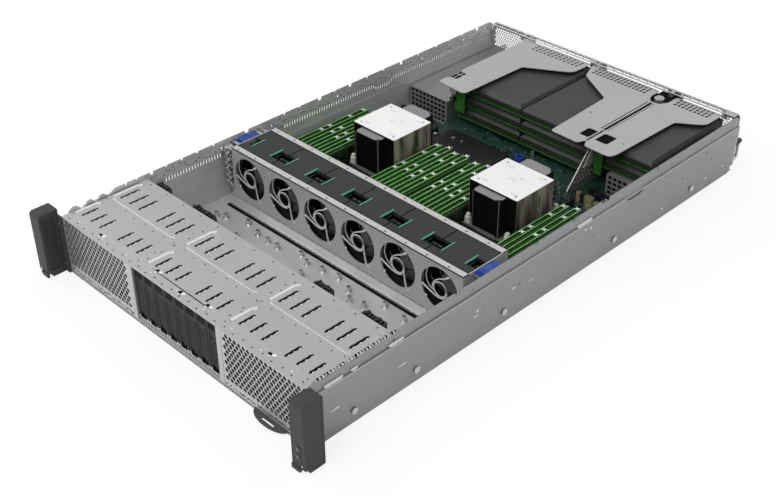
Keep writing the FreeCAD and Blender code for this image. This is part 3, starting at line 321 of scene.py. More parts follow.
def plated(name, colour, rough, metal, grain=(400.0, 30.0, 400.0)):
    # Rolled, zinc-plated sheet: faint grain along the roll, cloudy patches and a light grain bump.
    coat = Coat(name, colour, rough, metal)
    cloud = coat.noise(14.0)
    streak = coat.noise(1.0, 2.0, grain)
    base = tone(colour)
    dark = tuple(c * 0.82 for c in base[:3]) + (1.0,)
    coat.set("Base Color", coat.mixed(cloud * 0.6 + streak * 0.4, dark, base))
    coat.set("Roughness", cloud * 0.18 + streak * 0.12 + (rough - 0.14))
    coat.bump(streak, 0.12, 0.0004)
    return coat


zinc = plated("zinc_plate", "9A9C9E", 0.45, 0.7)
# A lighter, less metallic copy of the zinc for the tray's inner faces and floor: painted light.
lit_inner_zinc = plated("lit_inner_zinc", "D2D3D2", 0.36, 0.35, (30.0, 260.0, 30.0))


def ledge_height(y):
    # The ledge dips where the riser bracket is fastened inside.
    if y <= 512 or y >= 553:
        return 68.0
    if y < 520:
        return 68.0 - 6.0 * (y - 512) / 8
    return 62.0 if y < 541 else 62.0 + 6.0 * (y - 541) / 12


ledge_stations = [0, 60, 120, 200, 300, 400, 480, 512, 516, 520, 530, 541, 545, 549, 553, 600, 680,
                  tray_depth]
lip_notches = {1: ((30, 3, 3), (66, 4, 4), (101, 3, 2), (214, 8, 2.5), (281, 3, 2), (345, 8, 3), (412, 6, 3),
                   (419, 2, 6), (473, 16, 4), (579, 2.4, 7), (640, 3, 1.5), (730, 3, 3)),
               -1: ((92, 3, 3), (108, 3, 2), (130, 5, 4), (152, 3, 2), (176, 3, 3), (200, 4, 2),
                    (226, 3, 3), (280, 7, 4),
                    (345, 3, 3), (372, 3, 2), (408, 7, 4), (436, 3, 2), (465, 6, 4), (498, 3, 3), (530, 4, 2),
                    (566, 6, 5), (602, 3, 3), (640, 4, 2), (668, 3, 2), (697, 3, 3), (730, 6, 5))}


def lip_outline(side):
    points = [(y, ledge_height(y) - 0.4) for y in reversed(ledge_stations) if 1.0 < y < 765.5]
    points += [(1.0, 67.6), (1.0, 76.0)]
    if side < 0:
        for low, high in ((10, 28), (33, 48), (50, 66)):
            points += [(low + (high - low) * i / 6, 78 + 6 * math.sin(math.pi * i / 6)) for i in range(7)]
        points += [(71.0, 81.0), (76.0, lip_top)]
    else:
        points += [(4.0, 82.0), (8.0, lip_top)]
    for y, wide, deep in lip_notches[side]:
        points += [(y - wide / 2, lip_top), (y - wide / 2 + 0.6, lip_top - deep),
                   (y + wide / 2 - 0.6, lip_top - deep),
                   (y + wide / 2, lip_top)]
    points += [(757.0, lip_top), (762.0, 82.5), (765.5, 79.0), (765.5, 67.6)]
    return points


tray = bmesh.new()
brick(tray, (-217.2, 217.2), (0, tray_depth), (0, 1.2))
brick(tray, (-217.0, 132.0), (0, 1.2), (1.2, 4.4))
brick(tray, (185.0, 217.0), (0, 1.2), (1.2, 4.4))
for side in (-1, 1):
    inner, outer = side * 217.1, side * wall_face
    low_wall = [(0, 0), (757, 0), (757, 9), (tray_depth, 9), (tray_depth, 49.0), (0, 49.0)]
    low_holes = [ring(y, 42.0, 1.5, 12) for y in (257.8, 317.5, 452, 640, 706)]
    plate(tray, low_wall, low_holes, "X", inner, outer)
    band = [(0, 50.0)] + [(tray_depth, 50.0)] + [(y, ledge_height(y)) for y in reversed(ledge_stations)]
    if side > 0:
        band_holes = [ring(y, z, 1.3, 10) for y, z in ((411, 59.5), (599, 62), (690, 60), (753, 56))]
    else:
        teeth = [150.0 + 4.5 * i for i in range(20)] + [345.0 + 4.5 * i for i in range(84)]
        band_holes = [box_of((y, y + 1.6), (top - 6.0, top)) for y in teeth
                      for top in [min(ledge_height(y), ledge_height(y + 1.6)) - 1.8]]
    plate(tray, band, band_holes, "X", side * wall_face, side * band_face)
    skin(tray, [[(side * wall_face, y, 48.8), (side * band_face, y, 50.1)] for y in (0, tray_depth)])
    skin(tray, [[(side * 216.9, y, 36.0), (side * 218.4, y, 50.6)] for y in (0, tray_depth)])
    skin(tray, [[(side * band_face, y, ledge_height(y)), (side * 217.3, y, ledge_height(y) + 0.3)]
                for y in ledge_stations])
    plate(tray, lip_outline(side), [ring(y, 74.0, 1.5, 10) for y in (118, 238, 322, 441, 610, 700)], "X",
          side * 216.3, side * 217.5)
finish("chassis_tray", tray, zinc, "chassis", ("chassis_base",), soft=0.15, inside=lit_inner_zinc)


def dome(mesh, x, y, z, wide, long, tall, around=12, rings=8):
    # A rounded blob, such as a pressed boss, a rivet head or a nub.
    shape = Matrix.Translation(spot(x, y, z)) @ Matrix.Diagonal((wide / 1000, long / 1000, tall / 1000, 1.0))
    bmesh.ops.create_uvsphere(mesh, u_segments=around, v_segments=rings, radius=1.0, matrix=shape)


# Pressed details of the tray, in the same sheet: beads on the walls, burred holes, hooks and round
# bosses on the open floor between the drive cage and the fans.
# Bright zinc is the finish of the rear wall, port shells, clips, handles and brackets, and painted highlight
# where the tray pressings use it.
bright_zinc = plated("bright_zinc_and_highlight", "DCDEDF", 0.24, 0.85)
shade = plated("shadow_black", "0B0B0C", 0.85, 0.0)
shade.set("Specular IOR Level", 0.1)
# The beads and hooks are real pressings. Their bright zinc, the strip along the right ledge, the strips
# inside the lips, the teeth on the right lip and the pale dots on both lips are painted highlight where edges
# catch the light.
pressed = bmesh.new()
for side in (-1, 1):
    for y, z in ((33.7, 34.5), (129.0, 35.3)):
        dome(pressed, side * 218.4, y, z, 0.9, 7.0, 1.0)
        dome(pressed, side * 218.4, y + 210, z + 1, 0.6, 5.0, 0.7)
    for y, z in ((246, 42), (307, 41), (434, 60.4), (445, 58), (668, 17), (699, 17), (739, 18.4), (600, 14)):
        dome(pressed, side * (219.6 if z > 50 else 218.5), y, z, 0.7, 2.2, 1.8)
    brick(pressed, (side * 214.6, side * 216.2), (30, 110), (80.2, 80.8))
for low, high in ((21.0, 46.0), (57.0, 66.0), (110.0, 131.0), (418.0, 446.0)):
    brick(pressed, (217.5, 218.9), (low, high), (69.4, 72.4))
    brick(pressed, (217.5, 219.2), (low + 2, high - 2), (68.3, 69.4))
for i in range(26):
    y = 12.0 + 4.2 * i
    brick(pressed, (214.8 + i % 3 * 0.5, 217.9), (y, y + 1.2 + (i * 7 % 3) * 0.8),
          (82.6, 84.5 + (i % 2) * 0.5))
brick(pressed, (217.6, 219.6), (2.0, 764.0), (67.3, 68.0))
# Dark dashes on the inner face of the left lip, in the shadow black: painted shade.
lip_shade_dashes = bmesh.new()
for i in range(150):
    y = 80.0 + 4.55 * i + random.uniform(-1.5, 1.5)
    z = random.uniform(69.5, 81.0)
    if i % 3:
        dome(pressed, -216.2, y, z, 0.5, random.uniform(0.5, 1.4), random.uniform(0.4, 1.2), 8, 6)
    brick(lip_shade_dashes, (-216.3, -216.0), (y + 1.5, y + 1.5 + random.uniform(0.5, 2.4)), (z - 1.4, z - 0.6))
for i in range(60):
    y = 90.0 + 11.3 * i
    dome(pressed, 216.8, y, 83.0 + random.uniform(-0.8, 0.4), 0.9, random.uniform(0.6, 2.0), 0.6, 8, 6)
finish("lip_painted_shade", lip_shade_dashes, shade, "chassis")
finish("tray_beads", pressed, bright_zinc, "chassis")

# Studs: turned steel standoffs pressed into the floor, with a collar and a threaded hole, and the
# flat-headed studs on the walls that hang in the keyholes of the slide rails.
stud = bmesh.new()
for x in (-205.0, -105.0, 0.0, 105.0, 205.0):
    for y in (336.0, 560.0):
        post(stud, x, y, 1.2, "Z", 3.0, 6.8, 12)
for x in (-120.0, 0.0, 120.0):
    post(stud, x, 740.0, 1.2, "Z", 3.0, 6.8, 12)
bay_studs = ((-187, 199), (-175, 205), (-143, 216), (-116, 209), (-130, 186), (-12, 190), (66, 196),
             (86, 200), (-94, 207), (-76, 207), (-42.5, 217), (-24, 210), (0, 213.5),
             (25, 217), (51.5, 208), (103, 217.5), (137, 214))
for x, y in bay_studs:
    plate(stud, ring(x, y, 3.0), [ring(x, y, 1.5, 12)], "Z", 1.2, 8.2)
    post(stud, x, y, 1.2, "Z", 4.4, 1.4, 20, 3.2)
for side in (-1, 1):
    for y in (60.0, 150.5, 292.0, 498.0, 665.0):
        post(stud, side * wall_face, y, 16.0, "X", 2.4, side * 1.2, 16)
        post(stud, side * 219.4, y, 16.0, "X", 4.1, side * 0.9, 20, 4.1)
stud_steel = plated("stud_steel", "D4D4D2", 0.28, 0.9)
finish("standoffs", stud, stud_steel, "chassis", ("studs",), soft=0.2)


# Rack ears: moulded grip bars over the steel ear plates. The inner face of each bar has a shallow
# panel, the top front edge is cut off and a small foot stands out at the bottom.
def moulded(name, colour, rough, grain=900.0, depth=0.00006, **more):
    # Moulded plastic: a fine spark-eroded grain and a little drift in colour.
    coat = Coat(name, colour, rough, **more)
    fine = coat.noise(grain, 2.0)
    cloud = coat.noise(20.0)
    base = tone(colour)
    dark = tuple(c * 0.8 for c in base[:3]) + (1.0,)
    coat.set("Base Color", coat.mixed(cloud, dark, base))
    coat.set("Roughness", fine * 0.2 + (rough - 0.1))
    coat.bump(fine, 0.25, depth)
    return coat


def flank(side, near, far, x=0.0):
    # The span between two distances from x, to its left (-1) or to its right (1).
    return sorted((x + side * near, x + side * far))


ear_plastic = moulded("ear_plastic", "363636", 0.66)
# The panel in the inner face of each bar takes a darker copy of the ear plastic: painted shade in the recess.
ear_panel = moulded("ear_panel", "2B2B2C", 0.6)
pin_steel = plated("pin_steel", "C9C9C6", 0.3, 0.9)
for side, word in ((-1, "left"), (1, "right")):
    bar = bmesh.new()
    profile = [(-26.4, 5.5), (-26.4, 83.6), (-23.4, 87.0), (-3.0, 87.0), (-3.0, 0.0), (-20.5, 0.0),
               (-23.4, 5.5)]
    core = flank(side, 222.6, 241.3)
    plate(bar, profile, [], "X", core[0], core[1])
    cheek = flank(side, 221.3, 222.6)
    plate(bar, profile, [oblong((-22.0, -6.0), (9.0, 80.5), 3.5)], "X", cheek[0], cheek[1])
    foot = [(side * x, z) for x, z in ((221.5, 0.6), (234.0, 0.6), (236.5, 5.5), (221.5, 6.5))]
    plate(bar, foot, [], "Y", -28.0, -25.0)
    back = [(side * x, z) for x, z in ((241.3, 0), (241.3, 87), (222, 87), (222, 80), (214, 80), (214, 0))]
    plate(bar, back, [ring(side * 232.55, z, 3.4) for z in (5.4, 81.6)], "Y", -3.0, 0.0)
    finish("ear_bar_" + word, bar, ear_plastic, "chassis", ("rack_ear_" + word,), soft=0.5)
    inlay = bmesh.new()
    plate(inlay, oblong((-21.9, -6.1), (9.1, 80.4), 3.4), [], "X", side * 222.4, side * 222.9)
    dome(inlay, side * 222.4, -9.5, 70.0, 0.5, 1.6, 1.6)
    finish("ear_inlay_" + word, inlay, ear_panel, "chassis")
    screws = bmesh.new()
    for z in (70.0, 14.0):
        post(screws, side * 217.6, -3.0, z, "Y", 2.4, -0.9, 16, 1.9)
    dome(screws, side * 236.0, -26.3, 9.0, 1.2, 0.8, 1.2)
    dome(screws, side * 241.0, -8.0, 12.0, 0.3, 1.2, 1.2)
    finish("ear_screws_" + word, screws, pin_steel, "chassis")

# Buttons and lamps low on the right ear: two round keys in dark wells and a row of pin-point lamps.
key_plastic = moulded("key_plastic", "5C5F62", 0.4)
for word, z in (("power_button", 30.0), ("id_button", 20.0)):
    key = bmesh.new()
    post(key, 231.3, -20.0, z, "Y", 2.3, -7.4, 24, 2.0)
    finish(word + "_cap", key, key_plastic, word, (word,), soft=0.3)
wells = bmesh.new()
for z in (30.0, 20.0):
    plate(wells, ring(231.3, z, 4.2, 24), [ring(231.3, z, 2.7, 24)], "Y", -26.9, -26.2)
for x, z in ((226.5, 25.0), (226.5, 15.0), (236.0, 15.0)):
    dome(wells, x, -26.4, z, 0.9, 0.4, 0.9)
finish("button_wells", wells, moulded("well_plastic", "1A1A1B", 0.3), "chassis")


# Drive cage: folded sheet that carries the drives and the blank vent panels, under a pressed top.
cage_zinc = plated("cage_zinc", "BEBEBD", 0.42, 0.65)
pits = cage_zinc.noise(620.0, 1.0) > 0.67
cage_zinc.set("Base Color", cage_zinc.mixed(pits * 0.45, tone("BEBEBD"), tone("6E7072")))
paint(cage_zinc, "drive_cage")


def about(centre, half):
    # The span that reaches half its width to each side of a centre.
    return centre - half, centre + half


def slot(x, low, high, half):
    # A lanced slot whose edges swell around small tabs.
    left, right = [], []
    steps = 12
    for i in range(steps + 1):
        y = low + (high - low) * i / steps
        end = 0.5 if i in (0, steps) else 1.0
        left.append((x - half * end * (1.0 if i % 4 == 2 else 0.8), y))
        right.append((x + half * end * (0.6 if i % 4 == 2 else 0.95), y))
    return right + left[::-1]


lid_low = 78.0
lid_top = 79.0
slot_half = 2.2
slot_offsets = (-54.5, -36, -18, 18, 36, 54.5)
pad_columns = (-145.5, 0.0, 145.5)
pad_rows = ((13.5, 51.0, 18.5, 41.0), (65.0, 110.0, 72.0, 100.0))
lid = bmesh.new()
slots = [slot(centre + offset, low, high, slot_half) for centre in pad_columns for _, _, low, high in pad_rows
         for offset in slot_offsets]
lances = ((-46.0, 15.6), (42.8, 15.8), (3.4, 9.8), (-150.0, 12.0), (150.0, 12.0))
front_holes = [ring(-205 + 15.2 * i, 4.6 + (i % 2) * 1.6, 1.25, 10) for i in range(28)]
back_holes = [ring(-200 + 33.0 * i, 116.0, 1.2, 10) for i in range(13)]
mid_holes = [ring(x, y, 1.2, 10) for x in (-72.7, 72.7) for y in (22, 40, 58, 78, 98)]
bites = [ring(x, y, 2.9, 14) for x, y in lances]
mid_holes += [ring(x, y, 1.0, 10) for x in (-214 + 3.2, 205.5, -77.0, 77.0) for y in (12, 34, 61, 88, 108)]
mid_holes += [ring(x, 58.0 + (i % 2) * 1.8, 1.0, 10) for i, x in enumerate(range(-190, 200, 19))]
edge = [(-215.9, 0.2), (215.9, 0.2), (215.9, 121.0), (-215.9, 121.0)]
plate(lid, edge, slots + front_holes + back_holes + mid_holes + bites, "Z", lid_low, lid_top)
finish("cage_lid", lid, cage_zinc, "chassis", ("cage_top_plate",), soft=0.1)
# A near-black sheet just under the lid, so that its slots and holes read black, and dark bits along the top
# of the right lip: painted shade.
lid_shade_sheet = bmesh.new()
plate(lid_shade_sheet, oblong((-213.5, 213.5), (10.0, 119.0), 2.0, 2), [], "Z", 77.7, 77.9)
for i in range(34):
    y = 11.0 + 3.3 * i + random.uniform(-1.2, 1.2)
    brick(lid_shade_sheet, (215.3, 217.7), (y, y + 1.3 + (i * 5 % 4) * 0.5), (83.2 - (i % 3) * 0.6, 84.4))
finish("cage_painted_shade", lid_shade_sheet, shade, "chassis")

# Each pad is pressed up a little, with a rounded sloping edge that shines along its left side.
pads = bmesh.new()
for centre in pad_columns:
    for low, high, slot_low, slot_high in pad_rows:
        holes = [slot(centre + offset, slot_low, slot_high, slot_half) for offset in slot_offsets]
        holes += [ring(x, y, 2.9, 14) for x, y in lances if y > low + 1 and y < high and abs(x - centre) < 60]
        rise = 79.35 if low > 60 else 79.12
        plate(pads, oblong(about(centre, 62.2), (low + 0.8, high - 0.8), 7.0, 6), holes, "Z", lid_top, rise)
        outer = oblong(about(centre, 63.2), (low - 0.2, high + 0.2), 8.0, 6)
        inner = oblong(about(centre, 62.2), (low + 0.8, high - 0.8), 7.0, 6)
        rows = [[(x, y, 79.02) for x, y in outer], [(x, y, rise) for x, y in inner]]
        skin(pads, rows, closed=True)
finish("cage_pads", pads, cage_zinc, "chassis")

# The near-white beads along each pad's left side and along the front of the far pads, the nubs beside the
# slots, the blobs by the lances and the dots along the front: painted highlight where the pressed edges catch
# the light.
highlight_zinc = plated("highlight_zinc", "F4F4F2", 0.3, 0.35)
highlight_beads = bmesh.new()
for centre in pad_columns:
    for low, high, _, _ in pad_rows:
        left = centre - (65.4 if low < 60 else 64.0)
        corner = [(left + 9 - 9 * math.cos(a), high - 9 + 9 * math.sin(a))
                  for a in (math.pi / 2 * i / 6 for i in range(7))]
        bead(highlight_beads, [(left, low + 3), (left, high - 16)] + corner[:5], 3.8, 1.0, lid_top)
        if low > 60:
            bead(highlight_beads, [(left + 1, low + 2), (left + 5, low), (centre + 58, low), (centre + 62, low + 3)],
                 0.6, 0.45, 79.02)
for centre in pad_columns:
    for _, _, low, high in pad_rows:
        for offset in slot_offsets:
            for i in (2, 6, 10):
                dome(highlight_beads, centre + offset + 2.1, low + (high - low) * i / 12, 79.4, 0.7, 1.2, 0.3, 8, 6)
for x, y in lances:
    dome(highlight_beads, x + 5.6, y + 0.6, 79.2, 3.0, 2.3, 0.85)
    dome(highlight_beads, x + 0.4, y - 3.4, lid_top, 1.5, 0.9, 0.5)
for i in range(9):
    dome(highlight_beads, -190 + 47.0 * i, 9.0, lid_top, 1.3, 0.9, 0.5)
finish("cage_highlights", highlight_beads, highlight_zinc, "chassis")


# Blank vent panels: thin steel with a dense field of hexagonal holes, framed by its own folded edge,
# and the speckled strip of small holes below.
def hexagon(a, b, across):
    return ring(a, b, across / math.sqrt(3), 6, math.radians(30))


vent_steel = plated("vent_steel", "CBCBC9", 0.38, 0.75)
vent_span = (83.3, 214.7)
vents = bmesh.new()
for side in (-1, 1):
    low, high = flank(side, *vent_span)
    cells = []
    for row in range(12):
        for column in range(18):
            a = low + 5.2 + 7.1 * column + (3.55 if row % 2 else 0.0)
            b = 16.8 + 5.2 * row
            if a + 2.8 < high - 1.5:
                cells.append(hexagon(a, b, 5.3))
    plate(vents, box_of((low, high), (5.4, 77.7)), cells, "Y", 0.2, 1.2)
    for x in (low, high - 1.2):
        brick(vents, (x, x + 1.2), (1.2, 9.0), (5.4, 77.7))
    brick(vents, (low, high), (0.0, 1.0), (10.6, 11.8))
finish("vent_mesh", vents, vent_steel, "chassis", ("vent_panels",))
speckle = bmesh.new()
for i in range(142):
    x = -212 + 3.0 * i + random.uniform(-0.8, 0.8)
    post(speckle, x + 1.4, -0.02, 3.2 + random.uniform(-1.2, 1.2), "Y", random.uniform(0.4, 1.0), 0.3, 8)
    if abs(x) > 83:
        post(speckle, x, -0.02, 8.0 + random.uniform(-1.0, 1.4), "Y", random.uniform(0.6, 1.25), 0.3, 8)
finish("strip_holes", speckle, moulded("hole_shade", "1E1E1F", 0.7), "chassis")
# A dark sheet behind each vent panel, so that the hexagonal holes read dark: painted shade.
vent_shade_sheet = bmesh.new()
for side in (-1, 1):
    low, high = flank(side, 84.6, 213.4)
    plate(vent_shade_sheet, box_of((low, high), (6.0, 77.0)), [], "Y", 11.0, 11.6)
finish("vent_painted_shade", vent_shade_sheet, moulded("vent_shade_dark", "2E2E2F", 0.8), "chassis")

# Information tab: a thin plastic tongue that slides out under the right-hand bay.
tab = bmesh.new()
nose = [(158.5 - 26 * math.cos(a), -11.0 * math.sin(a)) for a in (math.pi * i / 20 for i in range(21))]
plate(tab, nose + [(184.5, 62.0), (132.5, 62.0)], [oblong((149.0, 168.5), (-6.3, -3.8), 1.2, 3)],
      "Z", 2.0, 3.6)
tab_plastic = moulded("tab_plastic", "4A4A4B", 0.5)
finish("info_tongue", tab, tab_plastic, "info_tab", ("info_tab",), soft=0.25)

# Hot-swap drives: plastic carriers with a vented bezel and a lever, steel rails and the drive case.
bezel_plastic = moulded("bezel_plastic", "161617", 0.6, 1400.0, 0.0001)
lever_plastic = moulded("lever_plastic", "1B1B1C", 0.55, 1400.0, 0.0001)
drive_case = plated("drive_case", "8A8B8C", 0.4, 0.6)
carrier_pitch = 18.75
drive_low = 5.8
drive_top = 77.6
bezel_back = 14.0
drive_end = 114.0
lamp_shade = moulded("lamp_shade", "5A6A60", 0.3)
for number in range(1, 9):
    x = (number - 4.5) * carrier_pitch
    bezel = bmesh.new()
    face = box_of(about(x, 9.0), (drive_low, drive_top))
    grille = [oblong((x - 6.4 + 3.3 * i, x - 4.2 + 3.3 * i), (65.0, 75.4), 0.9, 2) for i in range(4)]
    plate(bezel, face, [oblong(about(x, 5.3), (7.9, 62.5), 0.8, 2)] + grille, "Y", 2.4, 8.9)
    brick(bezel, about(x, 9.0), (8.9, bezel_back), (drive_low, drive_top))
    for i in range(3):
        brick(bezel, (x + 6.0 + i, x + 6.5 + i), (2.3, 2.5), (13, 60))
        brick(bezel, (x - 8.5 + i, x - 8.0 + i), (2.3, 2.5), (13, 60))
    for i in range(26):
        a, b = random.uniform(x - 8.6, x + 7.6), random.uniform(13, 76)
        dome(bezel, a, 2.4, b, random.uniform(0.3, 0.8), 0.35, random.uniform(0.4, 1.3), 6, 4)
    finish("drive_bezel_%d" % number, bezel, bezel_plastic, "drive_%d" % number,
           ("drive_%d" % number,), soft=0.25)
    case = bmesh.new()
    brick(case, about(x, 7.5), (bezel_back, drive_end), (6.8, 76.6))
    for low in (drive_low, 62.6):
        brick(case, about(x, 9.0), (bezel_back, drive_end), (low, low + 15.0))
    finish("drive_case_%d" % number, case, drive_case, "drive_%d" % number, soft=0.6)
    lever = bmesh.new()
    arm = [(5.0, 14.0), (2.8, 17.0), (2.8, 62.2), (7.5, 62.2), (7.5, 12.8), (8.6, 10.4)]
    arm += [(6.8 + 1.8 * math.cos(a), 10.4 - 1.8 * math.sin(a))
            for a in (math.pi * i / 8 for i in range(1, 9))]
    plate(lever, arm, [], "X", x - 5.0, x + 5.0)
    for i in range(5):
        brick(lever, (x - 3.6 + 1.7 * i, x - 3.1 + 1.7 * i), (2.6, 2.9), (18, 58))
    finish("lever_arm_%d" % number, lever, lever_plastic, "drive_lever_%d" % number,
           ("drive_lever_%d" % number,), soft=0.3)
    lights = bmesh.new()
    for z in (63.6, 76.4):
        dome(lights, x + 7.4, 2.4, z, 0.6, 0.3, 0.6, 8, 6)
    finish("drive_lamps_%d" % number, lights, lamp_shade, "drive_%d" % number)
    sill = bmesh.new()
    pores = [ring(x - 7.6 + 1.9 * i, 7.7 + random.uniform(-0.7, 0.6), random.uniform(0.45, 0.75), 8)
             for i in range(9)]
    plate(sill, [(x - 9.0, 5.9), (x + 9.0, 5.9), (x + 9.0, 11.2), (x + 6.8, 12.4), (x + 5.4, 9.4),
                 (x - 5.4, 9.4),
                 (x - 6.4, 12.6), (x - 9.0, 11.4)], pores, "Y", 1.9, 2.3)
    finish("drive_sill_%d" % number, sill, vent_steel, "drive_%d" % number)


# Backplane: a green circuit board across the cage rear with black cable connectors on its top edge.
def circuit(name, colour, trace, rough=0.45):
    # Solder mask over fine copper runs.
    coat = Coat(name, colour, rough, Coat_Weight=0.25)
    place_of = coat.node("TexCoord", out=3)
    runs = coat.node("TexVoronoi", {"feature": "DISTANCE_TO_EDGE"}, Vector=place_of, Scale=160.0)
    speck = coat.noise(700.0, 2.0)
    lines = coat.node("Math", {"operation": "LESS_THAN"}, i0=runs, i1=0.06)
    coat.set("Base Color", coat.mixed(lines * 0.7 + speck * 0.2, tone(colour), tone(trace)))
    coat.bump(lines, 0.15, 0.0001)
    return coat


plane_mask = circuit("plane_mask", "243024", "3A4C38")
paint(plane_mask, "drive_backplane")
black_plastic = moulded("connector_black", "141615", 0.5)
sockets = bmesh.new()
for low, high in ((-199.0, -179.0), (-128.0, -91.0), (89.0, 113.0), (164.0, 194.0)):
    plate(sockets, box_of((low + 0.5, high - 0.5), (124.4, 131.4)),
          [box_of((low + 2, high - 2), (126.2, 129.6))], "Z", 60.0, 75.6)
    for i in range(int((high - low) / 2.4)):
        brick(sockets, (low + 1.2 + 2.4 * i, low + 2.2 + 2.4 * i), (131.2, 132.2), (61, 74))
    for i in range(7):
        x = low + (high - low) * (i + 0.3) / 7
        brick(sockets, (x - 1.6, x + 1.4), (123.6 + i % 2, 129.0 + (i * 5 % 3)),
              (75.6, 77.2 + (i * 3 % 4) * 0.6))
finish("plane_sockets", sockets, black_plastic, "chassis", soft=0.3)

# Rear panel: the same sheet, with card slots, power supply bays, port cut-outs, a dense hexagonal
# vent and a slotted top rail between two hems.
rear_face = 768.0
rear = bmesh.new()
edge = [(-140.6, 1.2), (140.6, 1.2), (140.6, 41.1), (215.3, 41.1), (215.3, 9.0), (wall_face, 9.0),
        (wall_face, 48.8),
        (band_face, 50.0), (band_face, 68.0), (217.5, 68.0), (217.5, 81.0), (214.5, 84.0), (-204.0, 84.0),
        (-211.0, 82.0), (-215.6, 77.6), (-217.5, 71.0), (-band_face, 68.0), (-band_face, 50.0),
        (-wall_face, 48.8),
        (-wall_face, 9.0), (-215.3, 9.0), (-215.3, 41.1), (-140.6, 41.1)]
windows = [box_of((-132, -26), (25, 81)), box_of((0, 104), (25, 81)), box_of((129, 190), (43.5, 81))]
ports = [(138 * share, wide, tall) for share, wide, tall in (
    (-0.855, 30, 12), (-0.52, 16, 12.5), (-0.365, 16, 12.5), (-0.075, 31, 11), (0.175, 14, 13),
    (0.31, 14, 13), (0.445, 14, 13))]
windows += [box_of((x - wide / 2 - 0.4, x + wide / 2 + 0.4), (10.4, 11.2 + tall)) for x, wide, tall in ports]
cells = [hexagon(-209.5 + 4.3 * column + (2.15 if row % 2 else 0), 47.5 + 3.75 * row, 3.3)
         for row in range(8) for column in range(17)]
cells += [hexagon(194.0 + 4.3 * column + (2.15 if row % 2 else 0), 47.5 + 3.75 * row, 3.3)
          for row in range(8) for column in range(5)]
plate(rear, edge, windows + cells, "Y", tray_depth, rear_face)
gaps = [oblong((-206 + 14.0 * i, -193.6 + 14.0 * i), (759.0, 764.9), 1.2, 2) for i in range(29)]
plate(rear, box_of((-210.0, 214.0), (756.6, tray_depth)), gaps, "Z", 83.0, 84.0)
for y in (756.8, 767.1):
    post(rear, -208.0, y, 84.2, "X", 0.75, 422.0, 10)
for x in (-20, 114, 201, -150):
    brick(rear, about(x, 3.0), (757.0, 767.0), (76.0, 83.2))
finish("rear_wall", rear, bright_zinc, "chassis", ("rear_panel",), soft=0.1)

# Fan cage: a pressed steel box around six bays. Each opening in its face has a swirl guard, a centre
# ring with four spokes that leave it at a tangent, riveted at the rim. The foot is a rolled edge.
fan_zinc = plated("fan_zinc", "CCCCCB", 0.4, 0.55)
rail_zinc = plated("rail_zinc", "D2D2CF", 0.38, 0.5)
speckles = rail_zinc.noise(520.0, 1.0) > 0.6
rail_zinc.set("Base Color", rail_zinc.mixed(speckles * 0.35, tone("D4D4D1"), tone("8C8E90")))
fan_pitch = 66.5
fan_bore = 28.5
fan_half = 32.45
fans = [(i - 2.5) * fan_pitch for i in range(6)]
axis = 46.0
cage_front = 241.0
cage_rear = 315.8
cage_half = 200.7
cage_top = 80.2
cage = bmesh.new()
face = box_of((-cage_half, cage_half), (1.5, cage_top))
plate(cage, face, [ring(x, axis, fan_bore, 48) for x in fans], "Y", cage_front, 242.2)
plate(cage, face, [ring(x, axis, fan_bore, 32) for x in fans], "Y", 314.6, cage_rear)
brick(cage, (-cage_half, cage_half), (242.2, 314.6), (1.5, 2.7))
for side in (-1, 1):
    brick(cage, flank(side, 199.5, cage_half), (242.2, 314.6), (2.7, cage_top))
    brick(cage, flank(side, cage_half, 214.6), (257.8, 291.8), (75.0, 76.2))
for i in range(5):
    x = (i - 2) * fan_pitch
    brick(cage, about(x, 0.4), (242.2, 314.6), (2.7, 59.5))
finish("fan_cage_box", cage, fan_zinc, "fan_cage", ("fan_cage",), soft=0.1)
rails = bmesh.new()
for low, high in ((cage_front, 250.0), (306.8, cage_rear)):
    bites = [oblong(about(-190 + 33.25 * i, 1.6), (low + 2.6, low + 5.0), 0.8, 2) for i in range(12)]
    plate(rails, box_of((-cage_half, cage_half), (low, high)), bites, "Z", 79.0, cage_top)
    for x in [-183 + 33.25 * i for i in range(12)]:
        dome(rails, x, low + 4.5, cage_top, 1.1, 1.1, 0.5, 10, 6)
finish("fan_cage_rails", rails, rail_zinc, "fan_cage")

swirls = {"over": [(-0.40, -0.05), (-0.37, 0.14), (-0.24, 0.34), (-0.02, 0.5), (0.22, 0.62), (0.5, 0.84)],
          "right": [(0.06, 0.36), (0.25, 0.24), (0.35, 0.02), (0.38, -0.28), (0.43, -0.6), (0.5, -0.88)],
          "under": [(0.33, -0.2), (0.18, -0.36), (-0.06, -0.41), (-0.34, -0.36), (-0.66, -0.25),
                    (-0.97, -0.14)],
          "left": [(-0.34, -0.2), (-0.6, -0.04), (-0.73, 0.2), (-0.74, 0.46), (-0.66, 0.76)]}


def strap(mesh, path, widths, axis_front, axis_back):
    # A flat curved strap between two depths, along a path in the plane of a fan's face.
    edges = []
    for i, (a, b) in enumerate(path):
        ahead, behind = path[min(i + 1, len(path) - 1)], path[max(i - 1, 0)]
        along = Vector((ahead[0] - behind[0], ahead[1] - behind[1])).normalized()
        edges.append((a - along.y * widths[i] / 2, b + along.x * widths[i] / 2,
                      a + along.y * widths[i] / 2, b - along.x * widths[i] / 2))
    rows = [[(p, axis_front, q), (r, axis_front, s), (r, axis_back, s), (p, axis_back, q)]
            for p, q, r, s in edges]
    skin(mesh, rows, closed=True)


